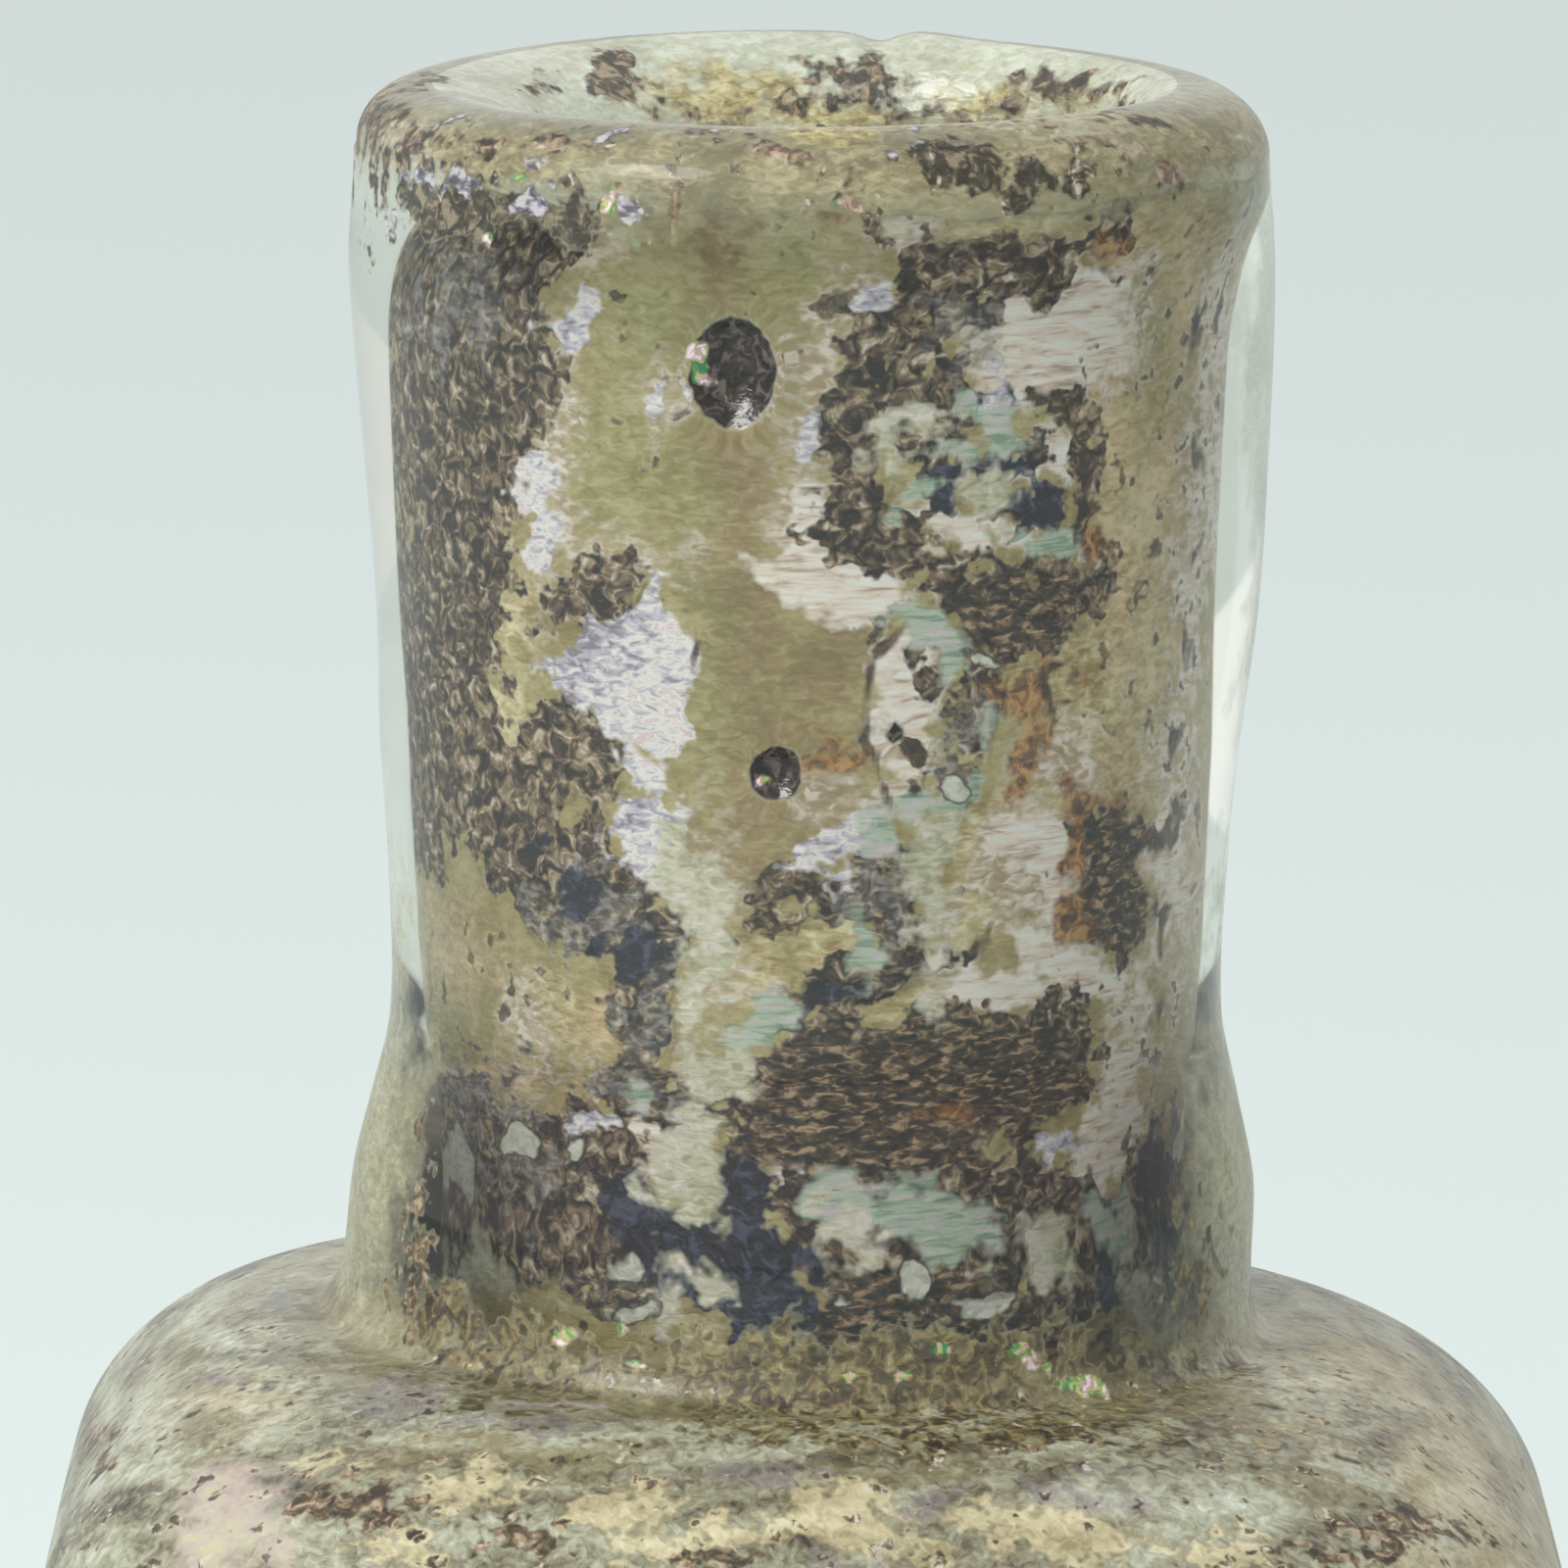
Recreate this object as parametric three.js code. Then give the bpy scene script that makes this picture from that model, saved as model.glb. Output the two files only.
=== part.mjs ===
// A small thick-walled glass unguentarium: a soft-cornered square body, a round neck and a
// fire-rounded lip. It is one blown piece, so it is one closed mesh whose skin runs up the outside,
// over the lip, down the bore and round the inside of the body.
// Millimetres, +Z up. The origin is the middle of the flat ring that the bottle stands on.
import * as THREE from 'three';

// Driving dimensions
const BOTTLE_HEIGHT = 66;
const NECK_LENGTH = 27.4;
const NECK_RADIUS = 10.0;
const BORE_RADIUS = 6.15;
const BORE_FOOT_RADIUS = 5.35;
const BODY_HALF_WIDTH = 16.75;
const BODY_CORNER_RADIUS = 9.0;
const BODY_TAPER = 0.7;
const SHOULDER_RISE = 5.8;
const SHOULDER_WALL = 2.8;
const BODY_WALL = 2.4;
const BASE_WALL = 3.2;
const HEEL_RADIUS = 3.0;
const KICK_RADIUS = 8.0;
const KICK_DEPTH = 1.0;
const FLOOR_FILLET = 4.0;

// The lip: its crest, the roll down to the neck outside and the roll down to the bore inside
const CREST_RADIUS = 8.3;
const CREST_DRIFT = -0.18;
const OUTER_ROLL_DEPTH = 1.4;
const INNER_ROLL_DEPTH = 1.9;
const MOUTH_RADIUS = 6.2;
const MOUTH_OFFSET = 1.05;
const MOUTH_OFFSET_DEPTH = 1.8;

// The shoulder meets the neck in a small hollow fillet, and the bore opens into the body round an edge
const FOOT_FILLET = 0.5;
const BORE_EDGE_RADIUS = 1.5;

// Squareness of the shoulder's arch: 2 is a quarter ellipse, less is flatter
const SHOULDER_CURVE = 1.82;

// The blown body sags to the right: its shoulder drops by this much for each millimetre across
const SHOULDER_TILT = 0.033;
const TILT_FADE = 6.0;

// Uneven wall of the neck: [share of the neck's length, swell beyond the neck's radius]
const NECK_SWELL = [
  [0.0, 0.03], [0.1, 0.12], [0.26, -0.12], [0.42, -0.43], [0.6, -0.8],
  [0.7, -0.83], [0.77, -0.42], [0.83, -0.06], [0.9, 0.02], [1.0, 0.22],
];

// The neck's middle wanders sideways: [share of the neck's length, drift to the right]
const NECK_DRIFT = [
  [0.0, 0.0], [0.26, 0.15], [0.37, 0.17], [0.48, 0.0], [0.83, -0.13], [0.93, -0.3], [1.0, -0.35],
];

// Unevenness of the rim: where it stands or dips, each with its angle, half width and height
const RIM_SWELLS = [
  { angle: 100, spread: 48, height: 0.25 },
  { angle: 78, spread: 3.5, height: -0.2 },
  { angle: 71, spread: 6, height: 0.08 },
];
const RIM_CHIP = { angle: 182, spread: 24, depth: 0.15 };

// Mesh fineness
const AROUND = 64;
const WALL_ROWS = 4;
const SHOULDER_ROWS = 8;
const NECK_ROWS = 16;
const ROLL_ROWS = 5;
const BORE_ROWS = 7;
const FILLET_ROWS = 3;

// Heights that follow from the driving dimensions
const NECK_FOOT = BOTTLE_HEIGHT - NECK_LENGTH;
const WALL_TOP = NECK_FOOT - SHOULDER_RISE;
const BORE_FOOT = NECK_FOOT - SHOULDER_WALL + BORE_EDGE_RADIUS;
const CAVITY_WALL_TOP = WALL_TOP - SHOULDER_WALL;
const CAVITY_WALL_FOOT = BASE_WALL + FLOOR_FILLET;

// Distance from the middle to the outline of a square with round corners, at an angle
function squarePlan(angle, halfWidth, cornerRadius) {
  const quarter = Math.PI / 2;
  const turned = (((angle + quarter / 2) % quarter) + quarter) % quarter;
  const off = Math.abs(turned - quarter / 2);
  const round = Math.min(cornerRadius, halfWidth);
  const centre = halfWidth - round;
  if (halfWidth * Math.tan(off) <= centre) {
    return halfWidth / Math.cos(off);
  }
  const along = centre * (Math.cos(off) + Math.sin(off));
  const across = centre * (Math.cos(off) - Math.sin(off));
  return along + Math.sqrt(Math.max(round * round - across * across, 0));
}

// Value at a share along a list of [share, value] pairs, eased between them
function eased(pairs, share) {
  const last = pairs.length - 1;
  const next = Math.min(Math.max(pairs.findIndex(([at]) => at >= share), 1), last);
  const [fromAt, fromValue] = pairs[next - 1];
  const [toAt, toValue] = pairs[share > 1 ? last : next];
  const part = THREE.MathUtils.clamp((share - fromAt) / (toAt - fromAt), 0, 1);
  const before = pairs[Math.max(next - 2, 0)][1];
  const after = pairs[Math.min(next + 1, last)][1];
  const bend = 0.5 * part * (1 - part);
  const leaving = (toValue - before) / 2;
  const arriving = (after - fromValue) / 2;
  const straight = fromValue + (toValue - fromValue) * part * part * (3 - 2 * part);
  return straight + bend * 2 * ((1 - part) * leaving - part * arriving);
}

// A bell that is 1 at its own angle and fades over its spread, both in degrees
function bell(angle, { angle: centre, spread }) {
  const away = THREE.MathUtils.euclideanModulo(THREE.MathUtils.radToDeg(angle) - centre + 180, 360) - 180;
  return Math.exp(-((away / spread) ** 2));
}

function rimHeight(angle) {
  return RIM_SWELLS.reduce((sum, swell) => sum + swell.height * bell(angle, swell), 0);
}

// How much of the sideways sag a height takes: all of it at the shoulder, none at the base or up the neck
function tiltShare(z) {
  if (z > NECK_FOOT) {
    return Math.max(1 - (z - NECK_FOOT) / TILT_FADE, 0);
  }
  return THREE.MathUtils.clamp(z / WALL_TOP, 0, 1);
}

// One ring of the skin: radius and height may change with the angle, and the middle may drift sideways
function ring(radiusAt, heightAt, drift = 0) {
  const points = [];
  for (let i = 0; i < AROUND; i += 1) {
    const angle = (2 * Math.PI * i) / AROUND;
    const radius = radiusAt(angle);
    const x = drift + radius * Math.cos(angle);
    const z = heightAt(angle);
    points.push([x, radius * Math.sin(angle), z - SHOULDER_TILT * tiltShare(z) * x]);
  }
  return points;
}

// Shares from 0 to 1 in equal steps, without the first
function steps(count) {
  return Array.from({ length: count }, (unused, i) => (i + 1) / count);
}

function bodyHalfWidth(z) {
  return BODY_HALF_WIDTH - BODY_TAPER * (1 - THREE.MathUtils.clamp(z / WALL_TOP, 0, 1));
}

function bodyPlan(angle, inset, z) {
  return squarePlan(angle, bodyHalfWidth(z) - inset, BODY_CORNER_RADIUS - inset);
}

// Underside: a shallow kick in the middle, then the flat standing ring
function baseRings() {
  const kick = [0.35, 0.7].map((share) => {
    const height = KICK_DEPTH * Math.cos((share * Math.PI) / 2);
    return ring(() => KICK_RADIUS * share, () => height);
  });
  const flat = [
    ring(() => KICK_RADIUS, () => 0),
    ring((angle) => bodyPlan(angle, HEEL_RADIUS, 0), () => 0),
  ];
  return [...kick, ...flat];
}

function heelAndWallRings() {
  const heel = steps(FILLET_ROWS).map((share) => {
    const turn = (share * Math.PI) / 2;
    const z = HEEL_RADIUS * (1 - Math.cos(turn));
    return ring((angle) => bodyPlan(angle, HEEL_RADIUS * (1 - Math.sin(turn)), z), () => z);
  });
  const wall = steps(WALL_ROWS).map((share) => {
    const z = THREE.MathUtils.lerp(HEEL_RADIUS, WALL_TOP, share);
    return ring((angle) => bodyPlan(angle, 0, z), () => z);
  });
  return [...heel, ...wall];
}

// The arch from a wall in to a round foot: both ways round a superellipse
function archRings(rows, planAt, footRadius, wallTop, rise, footDrift) {
  return steps(rows).slice(0, -1).map((share) => {
    const turn = (1 - share) * (Math.PI / 2);
    const out = Math.sin(turn) ** (2 / SHOULDER_CURVE);
    const z = wallTop + rise * Math.cos(turn) ** (2 / SHOULDER_CURVE);
    return ring((angle) => footRadius + (planAt(angle) - footRadius) * out, () => z, footDrift * (1 - out));
  });
}

function neckRadius(share) {
  return NECK_RADIUS + eased(NECK_SWELL, share);
}

function shoulderRings() {
  const footRadius = neckRadius(1) + FOOT_FILLET;
  const plan = (angle) => bodyPlan(angle, 0, WALL_TOP);
  return archRings(SHOULDER_ROWS, plan, footRadius, WALL_TOP, SHOULDER_RISE, eased(NECK_DRIFT, 1));
}

// Up the neck, from the fillet at the shoulder to the underside of the lip's outer roll
function neckRings() {
  const drift = eased(NECK_DRIFT, 1);
  const fillet = steps(FILLET_ROWS).map((share) => {
    const turn = ((share - 1 / FILLET_ROWS) * Math.PI) / 2;
    const radius = neckRadius(1) + FOOT_FILLET * (1 - Math.sin(turn));
    const z = NECK_FOOT + FOOT_FILLET * (1 - Math.cos(turn));
    return ring(() => radius, () => z, drift);
  });
  const top = BOTTLE_HEIGHT - OUTER_ROLL_DEPTH;
  const sides = steps(NECK_ROWS).map((share) => {
    const z = THREE.MathUtils.lerp(NECK_FOOT + FOOT_FILLET, top, share);
    const down = (top - z) / NECK_LENGTH;
    const chip = Math.exp(-((top - z) ** 2) / 2);
    return ring(
      (angle) => neckRadius(down) - RIM_CHIP.depth * 0.6 * chip * bell(angle, RIM_CHIP),
      () => z,
      eased(NECK_DRIFT, down),
    );
  });
  return [...fillet, ...sides];
}

function outerRollRings() {
  const start = neckRadius(0);
  return steps(ROLL_ROWS).map((share) => {
    const turn = (share * Math.PI) / 2;
    const radius = CREST_RADIUS + (start - CREST_RADIUS) * Math.cos(turn) ** 0.9;
    const z = BOTTLE_HEIGHT - OUTER_ROLL_DEPTH * (1 - Math.sin(turn));
    return ring(
      (angle) => radius - RIM_CHIP.depth * Math.cos(turn / 1.6) * bell(angle, RIM_CHIP),
      (angle) => z + rimHeight(angle) * Math.sin(turn),
      CREST_DRIFT * Math.sin(turn),
    );
  });
}

// Over the crest and down into the mouth, which sits a little off the neck's middle
function innerRollRings() {
  return steps(ROLL_ROWS).map((share) => {
    const turn = (share * Math.PI) / 2;
    const radius = MOUTH_RADIUS + (CREST_RADIUS - MOUTH_RADIUS) * (1 - Math.sin(turn));
    const z = BOTTLE_HEIGHT - INNER_ROLL_DEPTH * (1 - Math.cos(turn));
    const drift = THREE.MathUtils.lerp(CREST_DRIFT, MOUTH_OFFSET, share);
    return ring(() => radius, (angle) => z + rimHeight(angle) * Math.cos(turn), drift);
  });
}

function boreDrift(z) {
  const down = BOTTLE_HEIGHT - INNER_ROLL_DEPTH - z;
  return MOUTH_OFFSET * Math.exp(-((down / MOUTH_OFFSET_DEPTH) ** 2));
}

function boreRings() {
  const top = BOTTLE_HEIGHT - INNER_ROLL_DEPTH;
  const bore = steps(BORE_ROWS).map((share) => {
    const z = THREE.MathUtils.lerp(top, BORE_FOOT, share);
    const settled = Math.min(share * BORE_ROWS, 1);
    const straight = THREE.MathUtils.lerp(BORE_RADIUS, BORE_FOOT_RADIUS, share);
    const radius = THREE.MathUtils.lerp(MOUTH_RADIUS, straight, settled);
    return ring(() => radius, () => z, boreDrift(z));
  });
  const edge = steps(FILLET_ROWS).map((share) => {
    const turn = (share * Math.PI) / 2;
    const radius = BORE_FOOT_RADIUS + BORE_EDGE_RADIUS * (1 - Math.cos(turn));
    const z = BORE_FOOT - BORE_EDGE_RADIUS * Math.sin(turn);
    return ring(() => radius, () => z);
  });
  return [...bore, ...edge];
}

// Inside of the body: its own shoulder, walls and floor, each a wall's thickness inside the skin
function cavityRings() {
  const plan = (angle) => bodyPlan(angle, BODY_WALL, CAVITY_WALL_TOP);
  const foot = BORE_FOOT_RADIUS + BORE_EDGE_RADIUS;
  const arch = archRings(SHOULDER_ROWS - 2, plan, foot, CAVITY_WALL_TOP, SHOULDER_RISE, 0).reverse();
  const wall = [0, ...steps(WALL_ROWS)].map((share) => {
    const z = THREE.MathUtils.lerp(CAVITY_WALL_TOP, CAVITY_WALL_FOOT, share);
    return ring((angle) => bodyPlan(angle, BODY_WALL, z), () => z);
  });
  const floor = steps(FILLET_ROWS).map((share) => {
    const turn = (share * Math.PI) / 2;
    const z = BASE_WALL + FLOOR_FILLET * (1 - Math.sin(turn));
    const inset = BODY_WALL + FLOOR_FILLET * (1 - Math.cos(turn));
    return ring((angle) => bodyPlan(angle, inset, z), () => z);
  });
  const middle = [0.5].map((share) => {
    const z = BASE_WALL + KICK_DEPTH * Math.cos((share * Math.PI) / 2);
    return ring(() => KICK_RADIUS * share, () => z);
  });
  return [...arch, ...wall, ...floor, ...middle];
}

// A closed mesh from a row of rings, each end shut by a point in its middle
function skinOf(rings, startHeight, endHeight) {
  const points = [[0, 0, startHeight], ...rings.flat(), [0, 0, endHeight]];
  const endPoint = points.length - 1;
  const faces = [];
  for (let i = 0; i < AROUND; i += 1) {
    const next = (i + 1) % AROUND;
    faces.push(0, 1 + next, 1 + i);
    for (let row = 0; row < rings.length - 1; row += 1) {
      const low = 1 + row * AROUND;
      const high = low + AROUND;
      faces.push(low + i, low + next, high + next, low + i, high + next, high + i);
    }
    const last = 1 + (rings.length - 1) * AROUND;
    faces.push(last + i, last + next, endPoint);
  }
  const geometry = new THREE.BufferGeometry();
  geometry.setAttribute('position', new THREE.Float32BufferAttribute(points.flat(), 3));
  geometry.setIndex(faces);
  geometry.computeVertexNormals();
  return geometry;
}

function weatheredGlass() {
  return new THREE.MeshStandardMaterial({
    name: 'weathered_glass', color: 0xa9a88a, roughness: 0.3, metalness: 0.0,
  });
}

function glassBottle() {
  const rings = [
    ...baseRings(), ...heelAndWallRings(), ...shoulderRings(), ...neckRings(),
    ...outerRollRings(), ...innerRollRings(), ...boreRings(), ...cavityRings(),
  ];
  const bottle = new THREE.Mesh(skinOf(rings, KICK_DEPTH, BASE_WALL + KICK_DEPTH), weatheredGlass());
  bottle.name = 'glass_bottle';
  return bottle;
}

const unguentarium = new THREE.Group();
unguentarium.name = 'unguentarium';
unguentarium.add(glassBottle());

export default unguentarium;
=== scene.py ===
"""A small Roman glass unguentarium: thick clear glass, with film, crust and flaking left by burial."""
import math
from collections import namedtuple

import bpy
import numpy as np
from mathutils import Matrix


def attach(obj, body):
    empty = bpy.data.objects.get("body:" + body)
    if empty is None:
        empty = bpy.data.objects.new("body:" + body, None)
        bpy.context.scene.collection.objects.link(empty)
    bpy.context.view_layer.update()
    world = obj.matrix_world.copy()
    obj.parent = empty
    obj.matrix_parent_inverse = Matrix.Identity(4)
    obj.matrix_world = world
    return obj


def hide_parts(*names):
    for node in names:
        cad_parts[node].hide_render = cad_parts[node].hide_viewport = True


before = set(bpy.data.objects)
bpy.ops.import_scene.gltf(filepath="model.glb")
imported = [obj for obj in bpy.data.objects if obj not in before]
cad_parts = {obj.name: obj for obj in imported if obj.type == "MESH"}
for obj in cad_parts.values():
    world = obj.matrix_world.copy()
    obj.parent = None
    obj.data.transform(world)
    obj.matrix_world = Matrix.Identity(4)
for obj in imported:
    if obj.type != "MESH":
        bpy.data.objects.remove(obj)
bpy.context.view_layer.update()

# Sizes in millimetres, as the construction has them
MM = 0.001
BOTTLE_HEIGHT = 66.0
NECK_LENGTH = 27.4
NECK_RADIUS = 10.0
BORE_RADIUS = 6.15
BORE_FOOT_RADIUS = 5.35
BODY_HALF_WIDTH = 16.75
BODY_CORNER_RADIUS = 9.0
BODY_TAPER = 0.7
SHOULDER_RISE = 5.8
SHOULDER_WALL = 2.8
BODY_WALL = 2.4
BASE_WALL = 3.2
HEEL_RADIUS = 3.0
KICK_RADIUS = 8.0
KICK_DEPTH = 1.0
FLOOR_FILLET = 4.0
CREST_RADIUS = 8.3
CREST_DRIFT = -0.18
OUTER_ROLL_DEPTH = 1.4
INNER_ROLL_DEPTH = 1.9
MOUTH_RADIUS = 6.2
MOUTH_OFFSET = 1.05
MOUTH_OFFSET_DEPTH = 1.8
FOOT_FILLET = 0.5
BORE_EDGE_RADIUS = 1.5
SHOULDER_CURVE = 1.82
SHOULDER_TILT = 0.033
TILT_FADE = 6.0
NECK_SWELL = (
    (0.0, 0.03), (0.1, 0.12), (0.26, -0.12), (0.42, -0.43), (0.6, -0.8),
    (0.7, -0.83), (0.77, -0.42), (0.83, -0.06), (0.9, 0.02), (1.0, 0.22),
)
NECK_DRIFT = (
    (0.0, 0.0), (0.26, 0.15), (0.37, 0.17), (0.48, 0.0), (0.83, -0.13), (0.93, -0.3), (1.0, -0.35),
)
RIM_SWELLS = ((100, 48, 0.23), (78, 3.5, -0.2), (71, 6, 0.08))
RIM_CHIP = (182, 24, 0.15)

NECK_FOOT = BOTTLE_HEIGHT - NECK_LENGTH
WALL_TOP = NECK_FOOT - SHOULDER_RISE
BORE_FOOT = NECK_FOOT - SHOULDER_WALL + BORE_EDGE_RADIUS
CAVITY_WALL_TOP = WALL_TOP - SHOULDER_WALL
CAVITY_WALL_FOOT = BASE_WALL + FLOOR_FILLET

# The photograph's viewpoint: how far the eye is from the neck's axis, and how high over the rim
EYE_DISTANCE = 300.0
EYE_OVER_RIM = 34.5
AIM_SIDE = -0.56
AIM_UNDER_RIM = 15.5
SENSOR = 36.0
PICTURE_ACROSS = 34.48

GLASS_IOR = 1.5
GLASS_COLOUR = "f3f5ec"

# The deposit: how far its outer face stays inside the glass, how thick it is and how high its lumps are
DEPOSIT_GAP = 0.04
DEPOSIT_THICKNESS = 0.14
LUMP_HEIGHT = 0.05

# Patches reach this much further on the deposit, and a place in none of them has this depth
PATCH_SPREAD = 0.06
FAR_OUTSIDE = -9.0

# The meshes' divisions round the axis
GLASS_COLUMNS = 320
DEPOSIT_COLUMNS = 400

# Speckled layers stay this deep under their own edge, so that only the raggedness brings grains of them up
SPECKLED = ("freckles", "specks")
SPECKLE_DEPTH = -0.75

# How far the glass's own films reach: down from the top at the lip, for its haze outside and inside, and in the
# mouth, then up from the neck's foot
LIP_FILM_TO = 1.7
LIP_HAZE_TO = (0.25, 2.6)
MOUTH_HAZE_TO = 3.0
FOOT_FILM_TO = 4.0
BURIAL_TO = 0.3

# Where the photograph stops showing the glass: under the rim, inside the mouth and round the bore, in radians
PICTURE_TO = 34.0
MOUTH_PATCHES_TO = 3.5
HIDDEN_FROM = 1.95
HIDDEN_FADE = 0.5

# Seeds of the first scattered patches
OUTER_SEED = 60
INNER_SEED = 20

# The finish's relief: how high its fine ripples are in millimetres, and how strongly its bump shows
RIPPLE_HEIGHT = 0.05
BUMP_STRENGTH = 0.7

# The floor that fills the picture, the lamp and the daylight from the left and the right
FLOOR_RADIUS = 2200.0
FLOOR_SIDES = 96
FLOOR_COLOUR = "d0dbda"
LAMP_ACROSS = 260.0
LAMP_WATTS = 2.4
LAMP_COLOUR = "fffdf8"
LAMP_PLACE = (-300, -300, 420)
LAMP_TARGET = (0, 0, 45)
DAYLIGHT_COLOUR = "f7f8f7"
DAYLIGHT_LEFT = 1.12
DAYLIGHT_RIGHT = 0.82


# Shape of the blown glass. The number given to shares() is how many rings a band has

def eased(pairs, share):
    """Value at a share along (share, value) pairs: a smooth step between neighbours, bent by their slopes."""
    at = np.array([pair[0] for pair in pairs])
    value = np.array([pair[1] for pair in pairs])
    last = len(pairs) - 1
    share = np.asarray(share, dtype=float)
    k = np.clip(np.searchsorted(at, share), 1, last)
    part = np.clip((share - at[k - 1]) / (at[k] - at[k - 1]), 0.0, 1.0)
    leaving = (value[k] - value[np.maximum(k - 2, 0)]) / 2
    arriving = (value[np.minimum(k + 1, last)] - value[k - 1]) / 2
    straight = value[k - 1] + (value[k] - value[k - 1]) * part * part * (3 - 2 * part)
    return straight + part * (1 - part) * ((1 - part) * leaving - part * arriving)


def square_plan(angle, half_width, corner_radius):
    """Distance from the middle to a square with round corners, at an angle: a flat side, then an arc."""
    off = np.abs((angle + math.pi / 4) % (math.pi / 2) - math.pi / 4)
    centre = half_width - corner_radius
    flat = half_width / np.cos(off)
    across = centre * (np.cos(off) - np.sin(off))
    arc = centre * (np.cos(off) + np.sin(off)) + np.sqrt(np.maximum(corner_radius ** 2 - across ** 2, 0))
    return np.where(half_width * np.tan(off) <= centre, flat, arc)


def bell(angle, centre, spread):
    """1 at its own angle, fading as a bell over its spread, both in degrees."""
    away = (np.degrees(angle) - centre + 180) % 360 - 180
    return np.exp(-((away / spread) ** 2))


def rim_height(angle):
    return sum(height * bell(angle, centre, spread) for centre, spread, height in RIM_SWELLS)


def body_half_width(z):
    return BODY_HALF_WIDTH - BODY_TAPER * (1 - np.clip(z / WALL_TOP, 0, 1))


def body_plan(angle, inset, z):
    return square_plan(angle, body_half_width(z) - inset, BODY_CORNER_RADIUS - inset)


def neck_radius(share):
    return NECK_RADIUS + eased(NECK_SWELL, share)


def shares(count, start=0.0):
    """A column of shares up to 1 in equal steps, without the first."""
    return (start + (1 - start) * np.arange(1, count + 1) / count)[:, None]


def place(angle, radius, z, drift=0.0):
    """Points of a band of rings: radius and height at each angle, with the ring's middle drifted sideways.

    The height then sinks with x, all of it at the shoulder and none at the base or up the neck.
    """
    radius, z, drift, angle = np.broadcast_arrays(radius, z, drift, angle)
    x = drift + radius * np.cos(angle)
    over = np.maximum(1 - (z - NECK_FOOT) / TILT_FADE, 0)
    share = np.where(z > NECK_FOOT, over, np.clip(z / WALL_TOP, 0, 1))
    return np.stack([x, radius * np.sin(angle), z - SHOULDER_TILT * share * x], axis=-1)


def arch(angle, share, plan, foot_radius, wall_top, foot_drift):
    """The shoulder from the wall to the foot of the neck: a superellipse in height and in reach."""
    turn = (1 - share) * (math.pi / 2)
    out = np.sin(turn) ** (2 / SHOULDER_CURVE)
    z = wall_top + SHOULDER_RISE * np.cos(turn) ** (2 / SHOULDER_CURVE)
    return place(angle, foot_radius + (plan - foot_radius) * out, z, foot_drift * (1 - out))


def outer_bands(angle):
    """The outside from the kick under the base to the crest of the lip, as bands of rings."""
    share = shares(6)[:-1]
    kick = place(angle, KICK_RADIUS * share, KICK_DEPTH * np.cos(share * math.pi / 2))
    ring_width = body_plan(angle, HEEL_RADIUS, 0) - KICK_RADIUS
    ring = place(angle, KICK_RADIUS + ring_width * (shares(5) - 0.2) / 0.8, 0.0)
    turn = shares(8) * math.pi / 2
    z = HEEL_RADIUS * (1 - np.cos(turn))
    heel = place(angle, body_plan(angle, HEEL_RADIUS * (1 - np.sin(turn)), z), z)
    z = HEEL_RADIUS + (WALL_TOP - HEEL_RADIUS) * shares(34)
    wall = place(angle, body_plan(angle, 0, z), z)
    foot_radius = neck_radius(1.0) + FOOT_FILLET
    foot_drift = eased(NECK_DRIFT, 1.0)
    shoulder = arch(angle, shares(44)[:-1], body_plan(angle, 0, WALL_TOP), foot_radius, WALL_TOP, foot_drift)
    turn = (shares(5) - 0.2) * math.pi / 2
    z = NECK_FOOT + FOOT_FILLET * (1 - np.cos(turn))
    fillet = place(angle, neck_radius(1.0) + FOOT_FILLET * (1 - np.sin(turn)), z, foot_drift)
    top = BOTTLE_HEIGHT - OUTER_ROLL_DEPTH
    z = NECK_FOOT + FOOT_FILLET + (top - NECK_FOOT - FOOT_FILLET) * shares(100)
    down = (top - z) / NECK_LENGTH
    chip = RIM_CHIP[2] * bell(angle, *RIM_CHIP[:2])
    chipped = 0.6 * chip * np.exp(-((top - z) ** 2) / 2)
    neck = place(angle, neck_radius(down) - chipped, z, eased(NECK_DRIFT, down))
    turn = shares(16) * math.pi / 2
    radius = CREST_RADIUS + (neck_radius(0.0) - CREST_RADIUS) * np.cos(turn) ** 0.9
    z = BOTTLE_HEIGHT - OUTER_ROLL_DEPTH * (1 - np.sin(turn)) + rim_height(angle) * np.sin(turn)
    roll = place(angle, radius - chip * np.cos(turn / 1.6), z, CREST_DRIFT * np.sin(turn))
    return np.concatenate([kick, ring, heel, wall, shoulder, fillet, neck, roll])


def inner_roll(angle, share):
    """The inside of the lip, from its crest down to the bore."""
    turn = share * math.pi / 2
    radius = MOUTH_RADIUS + (CREST_RADIUS - MOUTH_RADIUS) * (1 - np.sin(turn))
    z = BOTTLE_HEIGHT - INNER_ROLL_DEPTH * (1 - np.cos(turn)) + rim_height(angle) * np.cos(turn)
    return place(angle, radius, z, CREST_DRIFT + (MOUTH_OFFSET - CREST_DRIFT) * share)


def bore(angle, share):
    """The bore, narrowing evenly from the mouth to its foot, and swaying back from the mouth's offset."""
    top = BOTTLE_HEIGHT - INNER_ROLL_DEPTH
    z = top + (BORE_FOOT - top) * share
    straight = BORE_RADIUS + (BORE_FOOT_RADIUS - BORE_RADIUS) * share
    radius = MOUTH_RADIUS + (straight - MOUTH_RADIUS) * np.minimum(share * 7, 1)
    return place(angle, radius, z, MOUTH_OFFSET * np.exp(-(((top - z) / MOUTH_OFFSET_DEPTH) ** 2)))


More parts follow.
